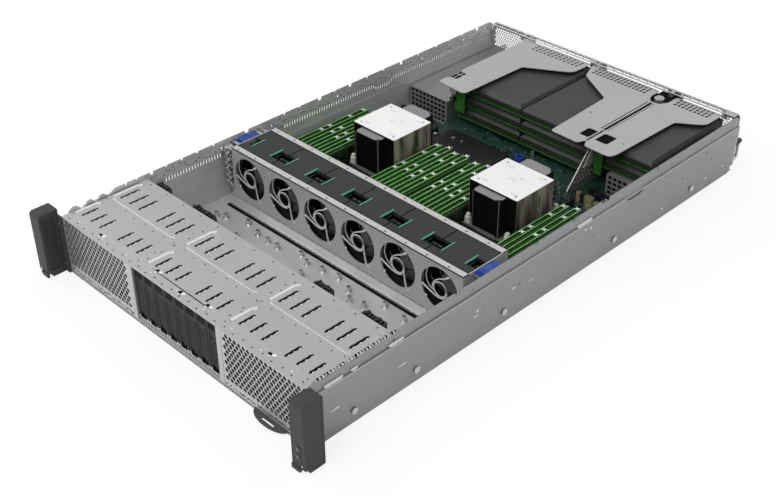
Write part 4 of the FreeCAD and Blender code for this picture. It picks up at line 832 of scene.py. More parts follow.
guard = bmesh.new()
for x in fans:
    plate(guard, ring(x, axis, 10.1, 32), [ring(x, axis, 8.9, 32)], "Y", 240.9, 242.1)
    for word, path in swirls.items():
        points = [(x + fan_bore * a, axis + fan_bore * b) for a, b in path]
        smooth = []
        for i in range(len(points) - 1):
            p = [Vector(points[max(0, min(len(points) - 1, i + k))]) for k in (-1, 0, 1, 2)]
            for t in (0.0, 0.33, 0.66):
                smooth.append(0.5 * (2 * p[1] + (p[2] - p[0]) * t
                                     + (2 * p[0] - 5 * p[1] + 4 * p[2] - p[3]) * t * t
                                     + (3 * p[1] - p[0] - 3 * p[2] + p[3]) * t ** 3))
        smooth.append(Vector(points[-1]))
        widths = [1.2 + (1.2 * (i / len(smooth)) ** 4 if word != "left" else -0.45)
                  for i in range(len(smooth))]
        strap(guard, smooth, widths, 240.9 if word != "left" else 241.3, 242.1)
    for a, b in ((0.42, 0.78), (-0.72, -0.62), (0.62, -0.92)):
        dome(guard, x + fan_bore * a, 240.9, axis + fan_bore * b, 1.5, 0.7, 1.5, 12, 8)
finish("swirl_guards", guard, plated("guard_zinc", "F0F0EE", 0.35, 0.35), "fan_cage")

foot = bmesh.new()
curve = [(cage_front, 1.6), (cage_front, 6.6), (236.0, 5.6), (231.6, 4.6), (230.4, 3.6), (230.0, 1.6)]
plate(foot, curve, [], "X", -200.0, 200.0)
brick(foot, (-200.0, 200.0), (229.4, 230.6), (3.6, 4.4))
for i in range(7):
    dome(foot, -199.0 + fan_pitch * i, 229.6, 3.2, 1.6, 1.0, 1.4, 10, 6)
finish("fan_cage_foot", foot, fan_zinc, "fan_cage")
# A near-black strip on the floor in front of the rolled foot is the painted shadow of the gap under it, and
# the dashed row low across the cage face is painted shade.
foot_shade_strip = bmesh.new()
brick(foot_shade_strip, (-199.0, 199.0), (225.6, 229.0), (1.25, 2.4))
for i in range(150):
    if i % 5 != 4:
        brick(foot_shade_strip, (-198 + 2.65 * i, -196.4 + 2.65 * i), (240.8, 241.1), (8.6, 9.3))
finish("cage_foot_painted_shadow", foot_shade_strip, shade, "fan_cage")

# Bracket at the left end of the fan cage: jagged spring contacts and clips of bright sheet.
clips = bmesh.new()
for i in range(13):
    z = 24.0 + 4.3 * i
    brick(clips, (-213.5, -199.5 - (i % 3) * 2.4), (240.0 - (i % 2) * 2.6, 246.5), (z, z + 2.2))
    dome(clips, -203.0 - (i * 5 % 9), 238.8, z + 1.2, 1.9, 1.6, 1.5, 10, 6)
for i in range(7):
    brick(clips, (-214.2 + 0.5 * (i % 3), -202.0), (244.0 + 9.5 * i, 248.0 + 9.5 * i),
          (76.4, 77.6 + (i % 2) * 0.9))
plate(clips, [(-214.4, 3), (-201.5, 3), (-201.5, 38), (-204, 42), (-204, 79), (-214.4, 79)],
      [ring(-208.2, 14 + 9.0 * i, 2.2, 12) for i in range(7)], "Y", 246.6, 247.6)
finish("cage_end_clips", clips, bright_zinc, "fan_cage")

# Fan modules: dark moulded housings with a round bore, finger wells beside each joint, a pair of
# teal lock tabs, a rear stator and its motor cup.
fan_black = moulded("fan_black", "262929", 0.55, 500.0, 0.00008)
# The bore lining, the stator struts and the motor cup take a near-black copy of the housing plastic: painted
# shade inside the bore.
fan_inside = moulded("fan_inside", "0C0C0D", 0.5)
teal = moulded("lock_teal", "5FA898", 0.4)


def tube(mesh, x, z, radius, low, high, sides=40):
    # The lining of a bore, seen from inside.
    skin(mesh, [[(a, y, b) for a, b in ring(x, z, radius, sides)] for y in (low, high)], closed=True)


for number, x in enumerate(fans, 1):
    body = "fan_module_%d" % number
    top = bmesh.new()
    outline = [(x - fan_half, 250.4), (x + fan_half, 250.4), (x + fan_half, 263.0), (x + 18.4, 263.0),
               (x + 18.4, 281.0), (x + fan_half, 281.0), (x + fan_half, 306.4), (x - fan_half, 306.4),
               (x - fan_half, 281.0), (x - 18.4, 281.0), (x - 18.4, 263.0), (x - fan_half, 263.0)]
    plate(top, outline, [], "Z", 74.8, 79.9)
    for side in (-1, 1):
        brick(top, flank(side, 18.4, fan_half, x), (263.0, 281.0), (68.0, 69.5))
        brick(top, flank(side, 26.0, 32.4, x), (271.0, 274.0), (69.5, 76.0))
        brick(top, flank(side, 31.4, fan_half, x), (250.4, 306.4), (3.0, 62.0))
    for y, depth in ((250.4, 251.8), (304.9, 306.4)):
        plate(top, box_of(about(x, fan_half), (3.1, 79.9)), [ring(x, axis, fan_bore, 48)], "Y", y, depth)
    finish("fan_housing_%d" % number, top, fan_black, body, (body,), soft=0.35)
    inside = bmesh.new()
    tube(inside, x, axis, 28.4, 250.6, 306.0)
    brick(inside, about(x, 31.4), (251.8, 304.9), (3.1, 4.4))
    post(inside, x, 293.0, axis, "Y", 15.0, 13.4, 32)
    for k in range(9):
        a = 2 * math.pi * k / 9
        strap(inside, [(x + r * math.cos(a + (r - 14) * 0.02), axis + r * math.sin(a + (r - 14) * 0.02))
                       for r in (14, 18, 23, 28.4)], [2.2] * 4, 301.4, 306.2)
    finish("fan_bore_%d" % number, inside, fan_inside, body)
    tabs = bmesh.new()
    for side in (-1, 1):
        brick(tabs, flank(side, 17.0, 18.5, x), (261.5, 284.0), (78.6, 80.9))
        brick(tabs, flank(side, 17.4, 18.4, x), (263.5, 280.5), (74.0, 78.6))
    finish("fan_tabs_%d" % number, tabs, teal, body, soft=0.3)

# Rotors: a motor cup with five broad swept blades that reach back into the bore.
blade_plastic = moulded("blade_plastic", "626366", 0.42, 500.0, 0.00003)
for number, x in enumerate(fans, 1):
    body = "fan_rotor_%d" % number
    rotor = bmesh.new()
    post(rotor, x, 262.0, axis, "Y", 14.6, 30.0, 32)
    post(rotor, x, 258.6, axis, "Y", 12.4, 3.4, 32, 14.6)
    post(rotor, x, 257.6, axis, "Y", 3.0, 1.0, 16)
    for k in range(5):
        start = math.radians(-82 + 72 * k)
        rows = []
        for i in range(13):
            t = i / 12
            row = []
            for j in range(7):
                r = 13.8 + 13.9 * j / 6
                swing = start + math.radians(100) * t - math.radians(26) * (j / 6) ** 1.6 * (1 - t)
                row.append((x + r * math.cos(swing), 254.0 + 24.0 * t + 1.5 * (1 - t) * (j / 6),
                            axis + r * math.sin(swing)))
            rows.append(row)
        skin(rotor, rows)
    thing = finish("fan_wheel_%d" % number, rotor, blade_plastic, body, (body,))
    thick = thing.modifiers.new("thick", "SOLIDIFY")
    thick.thickness = 0.0009
    thick.offset = 0.0

# Fan cage levers: deep blue moulded latches that lie at both ends of the cage.
blue = moulded("latch_blue", "21439A", 0.34)
for side, word in ((-1, "left"), (1, "right")):
    latch = bmesh.new()
    rows = []
    for i in range(15):
        t = i / 14
        y = 258.0 + 33.6 * t
        rise = 78.6 + 1.5 * math.sin(math.pi * t) ** 2 + (0.6 if 0.2 < t < 0.42 else 0.0)
        rows.append([(side * 201.3, y, 76.6), (side * 201.3, y, rise - 0.5), (side * 203.4, y, rise),
                     (side * 208.0, y, rise - (1.4 if 0.25 < t < 0.75 else 0.2)), (side * 212.4, y, rise),
                     (side * 214.4, y, rise - 0.6), (side * 214.4, y, 76.6)])
    grid = skin(latch, rows, closed=True)
    for row in (grid[0], grid[-1]):
        latch.faces.new(row)
    for i in range(4):
        brick(latch, sorted((side * (203.4 + 2.4 * i), side * (204.6 + 2.4 * i))), (259.5, 264.0),
              (78.0, 80.2))
    finish("cage_lever_" + word, latch, blue, "fan_latch_" + word, ("fan_latch_" + word,),
           soft=0.3)

# Motherboard: dark green laminate with copper runs, held on the standoffs, with chips, capacitors,
# coils and connectors soldered on, and the metal port shells at the rear edge.
board_mask = circuit("board_mask", "1C3330", "33564C")
board_top = 9.6
board = bmesh.new()
outline = [(-213.6, 330), (213.6, 330), (213.6, 572), (138, 572), (138, 754.8), (-138, 754.8), (-138, 572),
           (-213.6, 572)]
plate(board, outline, [ring(x, y, 2.0, 10) for x, y in ((-208, 338), (208, 338), (-208, 564), (208, 564))],
      "Z", 8.0, board_top)
finish("main_board", board, board_mask, "chassis", ("motherboard",))


def scatter(mesh, count, across, along, sizes, tall):
    for i in range(count):
        x, y = random.uniform(*across), random.uniform(*along)
        wide, deep = random.uniform(*sizes), random.uniform(*sizes)
        brick(mesh, (x, x + wide), (y, y + deep), (9.5, board_top + random.uniform(*tall)))


def rounded(points, radius, steps=4):
    # The same outline with its corners rounded.
    loop = []
    for i, corner in enumerate(points):
        here = Vector(corner)
        back, ahead = Vector(points[i - 1]) - here, Vector(points[(i + 1) % len(points)]) - here
        cut = min(radius, back.length * 0.45, ahead.length * 0.45)
        first, last = here + back.normalized() * cut, here + ahead.normalized() * cut
        for k in range(steps + 1):
            t = k / steps
            loop.append(tuple(first * (1 - t) ** 2 + here * 2 * t * (1 - t) + last * t * t))
    return loop


free_strips = (((-212, 205), (331.5, 340)), ((-60, 60), (500, 575)), ((-205, -70), (503, 565)),
               ((70, 205), (500, 565)), ((-130, 130), (580, 735)))
chips = bmesh.new()
lights = bmesh.new()
cans = bmesh.new()
for across, along in free_strips:
    scatter(chips, 60, across, along, (1.2, 6.0), (0.6, 2.2))
    scatter(lights, 110, across, along, (0.6, 2.0), (0.5, 1.6))
    for i in range(9):
        post(cans, random.uniform(*across), random.uniform(*along), board_top, "Z", random.uniform(1.6, 3.4),
             random.uniform(4, 8), 16)
plate(chips, rounded([(-114, 518), (-104, 512), (-8, 512), (-8, 566), (-106, 566), (-114, 560)], 4.0), [],
      "Z", board_top, 15.0)
for i in range(22):
    brick(chips, (-108 + 4.4 * i, -105.6 + 4.4 * i), (516, 562), (15.0, 15.5))
for x in (-107, 101):
    for i in range(8):
        brick(chips, (x - 44 + 11 * i, x - 35.5 + 11 * i), (336, 343.5), (board_top, 15.0))
        brick(chips, (x - 44 + 11 * i, x - 35.5 + 11 * i), (501, 509), (board_top, 15.0))
for x in (-131, 109.2):
    brick(chips, about(x, 4), (610, 711), (board_top, 12.2))
finish("board_chips", chips, black_plastic, "chassis", soft=0.15)
finish("board_passives", lights, plated("solder_grey", "A9ABA6", 0.35, 0.5), "chassis")
finish("board_capacitors", cans, plated("can_aluminium", "BFC1C1", 0.25, 0.9), "chassis",
       soft=0.3)
plugs = bmesh.new()
for x, y, wide, deep, tall in ((142, 548, 12, 6, 11), (157, 546, 10, 6, 9), (168, 549, 14, 6, 13),
                               (186, 547, 10, 7, 9), (128, 545, 6, 5, 14), (148, 538, 7, 4, 6),
                               (176, 538, 5, 5, 8)):
    plate(plugs, box_of(about(x, wide / 2), about(y, deep / 2)),
          [box_of((x - wide / 2 + 1, x + wide / 2 - 1), (y - deep / 2 + 1, y + deep / 2 - 1))],
          "Z", board_top, board_top + tall)
    for i in range(int(wide / 2) - 1):
        post(plugs, x - wide / 2 + 2 + 2 * i, y, board_top, "Z", 0.5, tall - 2, 8)
finish("board_plugs", plugs, moulded("plug_cream", "8F8868", 0.4), "chassis", soft=0.15)
plugs = bmesh.new()
for i in range(26):
    x, y = random.uniform(118, 206), random.uniform(520, 574)
    brick(plugs, (x, x + random.uniform(2, 7)), (y, y + random.uniform(2, 5)),
          (board_top, random.uniform(13, 24)))
for i in range(22):
    x, y = random.uniform(-206, -120), random.uniform(520, 574)
    brick(plugs, (x, x + random.uniform(2, 8)), (y, y + random.uniform(2, 6)),
          (board_top, random.uniform(13, 26)))
finish("board_cables", plugs, black_plastic, "chassis", soft=0.3)
touch = bmesh.new()
plate(touch, ring(9.0, 568.0, 7.0, 32), [ring(9.0, 568.0, 4.0, 24)], "Z", 12.0, 18.5)
post(touch, 9.0, 568.0, board_top, "Z", 6.6, 2.6, 32)
finish("touch_point", touch, blue, "chassis", soft=0.5)
shells = bmesh.new()
for x, wide, tall in ports:
    low, high = about(x, wide / 2), (10.8, 10.8 + tall)
    plate(shells, box_of(low, high), [box_of((low[0] + 1, low[1] - 1), (high[0] + 1, high[1] - 1))],
          "Y", 757.0, 767.9)
    brick(shells, low, (753.6, 757.2), high)
    brick(shells, (low[0] + 2, low[1] - 2), (757.0, 765.0), (high[0] + tall * 0.4, high[0] + tall * 0.55))
finish("port_shells", shells, bright_zinc, "chassis", soft=0.2)

# Processor sockets: black frames around a bright lid on the board under each heat sink.
sinks = (-107.0, 101.0)
sockets = bmesh.new()
for x in sinks:
    plate(sockets, box_of(about(x, 37.9), (391, 496)), [box_of(about(x, 34), (395, 492))],
          "Z", board_top, 16.9)
    brick(sockets, about(x, 34), (395, 492), (board_top, 13.6))
    brick(sockets, about(x, 19), (404, 474), (13.6, 16.9))
finish("socket_frames", sockets, black_plastic, "chassis", ("processor_sockets",), soft=0.3)

# Memory: thirty-two upright green modules in black slots, chips on both faces, pale star-shaped
# clips over each pair, and the latches at both ends.
module_mask = circuit("module_mask", "22581A", "347027", 0.5)
module_edge = circuit("module_edge", "5E9A4D", "8DB97E", 0.5)
module_black = moulded("chip_black", "1B1D1C", 0.35)
clip_white = moulded("clip_white", "E6EAE4", 0.4)
groups = (-180.0, -37.0, 31.5, 178.0)
slot_pitch = 7.9
module_front = 350.0
module_rear = 483.35
slots_x = [centre + (i - 3.5) * slot_pitch for centre in groups for i in range(8)]
cards = bmesh.new()
for x in slots_x:
    edge = [(module_front, 12.4), (414, 12.4), (414, 15.4), (419, 15.4), (419, 12.4), (module_rear, 12.4),
            (module_rear, 26.0),
            (481.4, 27.2), (module_rear, 28.4), (module_rear, 43.65), (module_front, 43.65),
            (module_front, 28.4), (351.9, 27.2),
            (module_front, 26.0)]
    plate(cards, edge, [], "X", x - 0.7, x + 0.7)
finish("memory_cards", cards, module_mask, "chassis", ("memory_modules",))
edges = bmesh.new()
for x in slots_x:
    brick(edges, about(x, 0.72), (350.4, 483.0), (43.3, 43.7))
    brick(edges, (x + 0.7, x + 0.95), (352.0, 481.0), (38.4, 39.5))
finish("memory_edges", edges, module_edge, "chassis")
chips = bmesh.new()
for x in slots_x:
    for i in range(9):
        y = 354.0 + 14.2 * i
        if i != 4:
            brick(chips, about(x, 1.7), (y, y + 11.0), (21.0, 35.5))
    brick(chips, about(x, 1.5), (413.5, 420.0), (26.0, 34.0))
finish("memory_chips", chips, module_black, "chassis", soft=0.1)
stars = bmesh.new()
for centre in groups:
    for pair in range(4):
        x = centre + (pair - 1.5) * 15.8
        for row, y in enumerate((401.0, 416.8, 454.9, 480.9)):
            offset = 3.2 if pair % 2 else -3.2
            star = [(x + math.cos(a) * (4.9 if i % 2 else 1.5),
                     y + offset + math.sin(a) * (4.4 if i % 2 else 1.5))
                    for i, a in enumerate(math.pi / 4 * k for k in range(8))]
            plate(stars, star, [], "Z", 43.7, 44.4)
finish("memory_clips", stars, clip_white, "chassis")
rows = bmesh.new()
for x in slots_x:
    plate(rows, [(x - 3.2, board_top), (x + 3.2, board_top), (x + 3.2, 18.2), (x + 0.9, 18.2),
                 (x + 0.9, 12.2),
                 (x - 0.9, 12.2), (x - 0.9, 18.2), (x - 3.2, 18.2)], [], "Y", 349.0, 484.35)
finish("memory_slots", rows, moulded("slot_black", "20221F", 0.4), "chassis",
       ("memory_sockets",), soft=0.2)
for word, near, sign in (("front", 348.5, -1), ("rear", 484.85, 1)):
    latches = bmesh.new()
    for x in slots_x:
        lever = [(near, 10.2), (near, 30.9), (near + sign * 2.6, 31.1), (near + sign * 3.8, 28.0),
                 (near + sign * 3.6, 24.0), (near + sign * 5.9, 10.2)]
        plate(latches, lever, [], "X", x - 2.3, x + 2.3)
    finish("memory_levers_" + word, latches, clip_white, "memory_latches_" + word,
           ("memory_latches_" + word,), soft=0.25)

# Heat sinks: stacked aluminium fins that run front to back, longer in the middle, with a bare white
# cap plate, a chamfered neck at both ends and cream nuts at the corners.
fin_dark = plated("fin_dark", "1F1C1A", 0.4, 0.35)
fin_side = plated("fin_side", "A89D92", 0.42, 0.45)
fin_side.set("Roughness", fin_side.noise(60.0) * 0.3 + 0.3)
drawn = (fin_side.noise(1.0, 3.0, (90.0, 90.0, 16.0)) - 0.36) * 4.0
fin_side.set("Base Color", fin_side.mixed(drawn, tone("51473F"), tone("AFA69C")))
neck_metal = plated("neck_metal", "9C9C9C", 0.45, 0.5)
cap_white = moulded("cap_white", "F6F6F5", 0.45, 700.0, 0.00003)
nut_cream = moulded("nut_cream", "DCD8CC", 0.4)
neck_front = 391.0
fins_front = 404.0
fins_rear = 474.0
neck_rear = 496.0
neck_top = 73.4
fins_top = 76.4
for x, word in zip(sinks, ("left", "right")):
    node = "heatsink_" + word
    fins = bmesh.new()
    for i in range(27):
        a = x - 37.2 + 74.4 * i / 26
        if abs(a - x) < 20.5:
            fin = [(neck_front, 22.0), (neck_rear, 22.0), (neck_rear, neck_top), (fins_rear, neck_top),
                   (fins_rear, fins_top), (fins_front, fins_top), (fins_front, neck_top),
                   (neck_front, neck_top)]
        else:
            fin = [(fins_front, 22.0), (fins_rear, 22.0), (fins_rear, fins_top), (fins_front, fins_top)]
        plate(fins, fin, [], "X", a - 0.28, a + 0.28)
    brick(fins, about(x, 20.5), (392.5, 494.5), (21.8, 73.0))
    brick(fins, about(x, 36.8), (405.5, 472.5), (21.8, 74.0))
    finish("fin_stack_" + word, fins, fin_dark, "chassis", (node,))
    shell = bmesh.new()
    side_plate = [(fins_front, 22.2), (fins_rear, 22.2), (fins_rear, fins_top), (fins_front, fins_top)]
    for a in (x - 38.0, x + 37.2):
        plate(shell, side_plate, [oblong((446, 448.4), (50, 66), 1.0, 2),
                                  oblong((464, 466), (28, 62), 0.9, 2),
                                  oblong((409, 411.5), (24, 40), 1.0, 2)], "X", a, a + 0.8)
    for i in range(14):
        brick(shell, (x + 38.0, x + 38.2), (405.5 + 5.0 * i, 407.0 + 5.0 * i),
              (22.4, 25.5 + 4.0 * (i * 7 % 3)))
    finish("fin_cheeks_" + word, shell, fin_side, "chassis", soft=0.15)
    base = bmesh.new()
    outline = [(x - 38, fins_front), (x - 17, fins_front), (x - 17, neck_front), (x + 17, neck_front),
               (x + 17, fins_front), (x + 38, fins_front),
               (x + 38, fins_rear), (x + 17, fins_rear), (x + 17, neck_rear), (x - 17, neck_rear),
               (x - 17, fins_rear), (x - 38, fins_rear)]
    plate(base, outline, [], "Z", 17.2, 22.2)
    for sign in (-1, 1):
        for y in (397.0, 490.0):
            brick(base, sorted((x + sign * 17, x + sign * 36.6)), about(y, 4.6), (17.2, 19.7))
    for near, far in ((fins_front, neck_front), (fins_rear, neck_rear)):
        step = 3.5 if far > near else -3.5
        neck = [(x - 21, near), (x - 21, far - step), (x - 18, far), (x + 14, far), (x + 21, far - 2 * step),
                (x + 21, near)]
        plate(base, neck, [], "Z", neck_top, 74.4)
    for a in (x - 21.0, x + 20.2):
        brick(base, (a, a + 0.8), (neck_front, 392.2), (22.0, neck_top))
    brick(base, (x + 37.4, x + 38.1), (fins_front, 405.0), (22.2, fins_top))
    finish("fin_base_" + word, base, neck_metal, "chassis", soft=0.2)
    cap = bmesh.new()
    plate(cap, oblong(about(x, 38), (fins_front, fins_rear), 2.0, 3),
          [ring(x + a, b, 1.4, 12) for a in (-30, 30) for b in (411, 467)],
          "Z", 76.3, 77.0)
    finish("fin_cap_" + word, cap, cap_white, "chassis", soft=0.15)
    prints = bmesh.new()
    for a, b, wide, deep in ((-26, 413, 9, 3), (-24, 460, 10, 3), (20, 412, 10, 3), (22, 462, 7, 3),
                             (-4, 437, 9, 4),
                             (6, 446, 6, 2)):
        plate(prints, oblong((x + a, x + a + wide), (b, b + deep), 0.6, 2),
              [oblong((x + a + 0.7, x + a + wide - 0.7),
              (b + 0.6, b + deep - 0.6), 0.4, 2)], "Z", 77.0, 77.1)
    finish("cap_ridges_" + word, prints, moulded("ridge_grey", "C9CACA", 0.5), "chassis")
    nuts = bmesh.new()
    for a in about(x, 32.0):
        for y in (397.0, 490.0):
            post(nuts, a, y, 19.7, "Z", 4.4, 3.6, 20)
            dome(nuts, a, y, 26.0, 4.5, 4.5, 4.2, 16, 10)
            dome(nuts, a, y, 30.6, 3.2, 3.2, 2.4, 16, 10)
    finish("corner_nuts_" + word, nuts, nut_cream, "chassis")

# Power supplies: long steel boxes with a square lattice at the inner end, and at the outer end the
# inlet, a fan behind a wire grille, a bent handle and a thumb latch.
psu_zinc = plated("psu_zinc", "A4A5A4", 0.4, 0.6)
handle_black = moulded("handle_black", "1C1C1D", 0.4)
supply_front = 583.0
supply_back = 766.0
supply_low = 1.5
supply_top = 40.5
for side, word in ((-1, "left"), (1, "right")):
    body = "psu_" + word
    low, high = flank(side, 141.2, 214.7)
    case = bmesh.new()
    cells = [box_of((low + 3.2 + 7.6 * i, low + 8.6 + 7.6 * i), (4.2 + 7.4 * j, 9.4 + 7.4 * j))
             for i in range(9) for j in range(5)]
    plate(case, box_of((low, high), (supply_low, supply_top)), cells, "Y", supply_front, 584.2)
    brick(case, (low, high), (584.2, supply_back), (39.3, supply_top))
    brick(case, (low, high), (584.2, supply_back), (supply_low, 2.7))
    for a in (low, high - 1.2):
        brick(case, (a, a + 1.2), (584.2, supply_back), (2.7, 39.3))
    inlet = flank(side, 143.4, 171.4)
    fan_x = side * 193.2
    plate(case, box_of((low, high), (supply_low, supply_top)),
          [box_of(inlet, (10.5, 31.5)), ring(fan_x, 21.0, 16.5, 32)],
          "Y", supply_back, rear_face)
    for y in (600.0, 676.0, 752.0):
        brick(case, (low + 0.5, high - 0.5), (y, y + 0.6), (40.4, 40.6))
        for a in (low + 6, high - 6):
            dome(case, a, y + 6, supply_top, 1.7, 1.7, 0.5, 12, 6)
    finish("psu_case_" + word, case, psu_zinc, body, (body,), soft=0.15)
    dark = bmesh.new()
    brick(dark, (low + 1.2, high - 1.2), (588.0, 750.0), (2.7, 39.3))
    plate(dark, box_of((inlet[0] + 0.2, inlet[1] - 0.2), (10.6, 31.4)),
          [oblong((inlet[0] + 2.2, inlet[1] - 2.2), (12.4, 29.6), 3.0, 3)], "Y", 755.0, 768.3)
    for a, z in ((-7, 23), (0, 19), (7, 23)):
        brick(dark, (sum(inlet) / 2 + a - 1, sum(inlet) / 2 + a + 1), (754, 765), about(z, 3))
    post(dark, fan_x, 756.0, 21.0, "Y", 6.5, 8.0, 24)
    for k in range(7):
        a = 2 * math.pi * k / 7
        strap(dark, [(fan_x + r * math.cos(a + r * 0.05), 21.0 + r * math.sin(a + r * 0.05))
                     for r in (6, 9, 12, 15.6)],
              [5.0, 6.0, 7.0, 8.0], 759.0, 761.0)
    path = [(rear_face, 6.5), (786.0, 6.5), (789.6, 8.0), (791.0, 11.0), (791.0, 31.0), (789.6, 34.0),
            (786.0, 35.5),
            (rear_face, 35.5)]
    inner = [(rear_face, 32.0), (784.5, 32.0), (786.6, 31.0), (787.4, 29.0), (787.4, 13.0), (786.6, 11.0),
             (784.5, 10.0),
             (rear_face, 10.0)]
    post(dark, side * 210.4, 778.0, 34.5, "Y", 4.6, 13.0, 24, 3.8)
    finish("psu_fittings_" + word, dark, handle_black, body, soft=0.4)
    bail = bmesh.new()
    plate(bail, path + inner, [], "X", *flank(side, 208.4, 212.0))
    finish("psu_bail_" + word, bail, bright_zinc, body, soft=0.5)
    wires = bmesh.new()
    for r in (4.0, 8.0, 12.0, 15.6):
        plate(wires, ring(fan_x, 21.0, r + 0.5, 36), [ring(fan_x, 21.0, r - 0.5, 36)], "Y", 767.2, 768.2)
    for k in range(4):
        a = math.pi / 4 + math.pi / 2 * k
        strap(wires, [(fan_x + r * math.cos(a), 21.0 + r * math.sin(a)) for r in (3.5, 16.6)], [1.2, 1.2],
              767.0, rear_face)
    finish("psu_grille_" + word, wires, bright_zinc, body)
    thumb = bmesh.new()
    a = side * 173.6
    plate(thumb, [(a, 768.4), (a + side * 3.9, 768.4), (a + side * 3.9, 775.2), (a + side * 2.0, 779.9),
                  (a, 779.9)], [],
          "Z", 4.6, 19.4)
    for i in range(5):
        brick(thumb, sorted((a, a + side * 2.2)), (779.7, 780.2), (6.0 + 2.6 * i, 7.2 + 2.6 * i))
    finish("psu_thumb_" + word, thumb, teal, "psu_latch_" + word, ("psu_latch_" + word,),
           soft=0.3)


# Risers: bright bent plates over the expansion cards, with rounded corners, hand cut-outs and a
# perforated apron at the rear, and the riser boards that stand below them.
riser_low = 80.0
riser_top = 81.2
riser_zinc = plated("riser_zinc", "C2C2C0", 0.42, 0.45)
riser_mask = circuit("riser_mask", "1F5413", "3C7A2A")
bracket_grey = plated("bracket_grey", "8C8B85", 0.45, 0.5)
left_edge = [(-140, 563.4), (-93, 559.5), (-88.5, 563), (-85.3, 680.2), (-38.7, 707.5), (-27, 714.9),
             (-22.4, 722),
             (-21, 756), (-140, 756), (-140, 609), (-126, 607.1), (-126, 584.1), (-140, 582.7)]
diamonds = [[(x, y - 2.7), (x + 2.9, y), (x, y + 2.7), (x - 2.9, y)] for i in range(12)
            for y in (737, 743.2, 749.4)
            for x in [-112.5 + 7.3 * i + (1.2 if y > 740 else 0)]]
riser = bmesh.new()
plate(riser, rounded(left_edge, 4.0), diamonds, "Z", riser_low, riser_top)
brick(riser, (-134.0, -132.8), (609, 756), (43.0, 80.2))
plate(riser, [(584, 80.0), (584, 50), (592, 43), (609, 43), (609, 80)],
      [ring(594 + 7 * (i % 2), 50 + 5.5 * i, 1.8, 10)
      for i in range(5)], "X", -134.0, -132.8)
for y in (585.0, 600.0):
    brick(riser, (-139.0, -127.0), (y, y + 1.2), (56.0, 80.2))
finish("riser_plate_left", riser, riser_zinc, "riser_left", ("riser_left",), soft=0.12)
green = bmesh.new()
brick(green, (-132.8, -131.2), (600, 750), (12.6, 80.0))
brick(green, (-131.3, -112.0), (588.0, 589.6), (30.0, 76.0))
finish("riser_board_left", green, riser_mask, "riser_left")
right_edge = [(61.1, 563.2), (105.0, 561.9), (109.6, 572.5), (112.4, 572.5), (116.0, 561.5), (148, 560.5),
              (156, 561.1), (160, 571.1), (163.6, 694.1), (190, 712), (197, 719),
              (197.6, 756), (126, 756), (126, 734), (119, 721.8), (105, 721.8), (98, 734), (98, 756),
              (-17, 756),
              (-4.35, 722.4), (56.2, 685.5)]
slants = [[(x, y), (x + 3.6, y), (x + 5.0, y + 5.6), (x + 1.4, y + 5.6)]
          for y in (734.5, 741.6, 748.7)
          for x in [-4 + 6.2 * i for i in range(15)] + [133 + 6.2 * i for i in range(9)]]
channel = [oblong((103.6, 115.6), (613, 719), 2.0, 3), oblong((109.2, 112.2), (574, 611.5), 1.2, 2),
           oblong((92.5, 107.4), (582, 604), 2.5, 3),
           oblong((117.2, 136.0), (583, 606), 2.5, 3), ring(68, 640, 1.6, 12), ring(150, 600, 1.6, 12)]
riser = bmesh.new()
plate(riser, rounded(right_edge, 4.5), slants + channel, "Z", riser_low, riser_top)
holes = [ring(556 + 6.2 * i + 3 * (j % 2), 26 + 6.0 * j, 1.5, 8) for j in range(9) for i in range(6)
         if 26 + 6.0 * j < 14 + 1.19 * (15 + 6.2 * i + 3 * (j % 2))]
plate(riser, [(592, 77.4), (541, 18), (541, 12.8), (721, 12.8), (721, 77.4)], holes, "X", 110.0, 111.2)
plate(riser, [(592, 77.4), (570, 42.6), (721, 42.6), (721, 77.4)], [], "X", 112.8, 114.0)
brick(riser, (98.0, 126.0), (721, 756), (75.8, 77.0))
brick(riser, (98.0, 126.0), (721, 722.2), (77.0, 80.2))
finish("riser_plate_right", riser, riser_zinc, "riser_right", ("riser_right",), soft=0.12)
# The nubs along the sloped edge of the apron and the two strips beside the channel are in the near-white
# zinc: painted highlight on those edges.
hem = bmesh.new()
for i in range(26):
    t = i / 25
    dome(hem, 110.9, 541.4 + 52.4 * t, 18.4 + 61.0 * t, 0.9, 0.8, 0.9, 8, 6)
skin(hem, [[(110.2, 541 + 53 * t, 18 + 62 * t), (111.4, 541 + 53 * t, 18 + 62 * t),
            (111.4, 542 + 53 * t, 17.4 + 62 * t)] for t in (0, 0.5, 1)])
for a, b in ((105.2, 106.4), (112.0, 113.0)):
    brick(hem, (a, b), (613.5, 718.5), (78.4, 80.4))
finish("riser_hem", hem, highlight_zinc, "riser_right")
mesh_grey = bmesh.new()
holes += [ring(600 + 6.2 * i + 3 * (j % 2), 26 + 6.0 * j, 1.5, 8) for j in range(8) for i in range(7)]
plate(mesh_grey, [(592, 79.6), (542, 18.4), (542, 13), (648, 13), (648, 79.6)], holes, "X", 111.3, 111.9)
finish("riser_screen", mesh_grey, bracket_grey, "riser_right")
green = bmesh.new()
brick(green, (108.4, 110.0), (650, 721), (12.6, 77.0))
brick(green, (114.0, 115.6), (590, 721), (42.6, 77.0))
brick(green, (116.0, 129.0), (587.5, 589.0), (30, 78))
finish("riser_board_right", green, riser_mask, "riser_right")
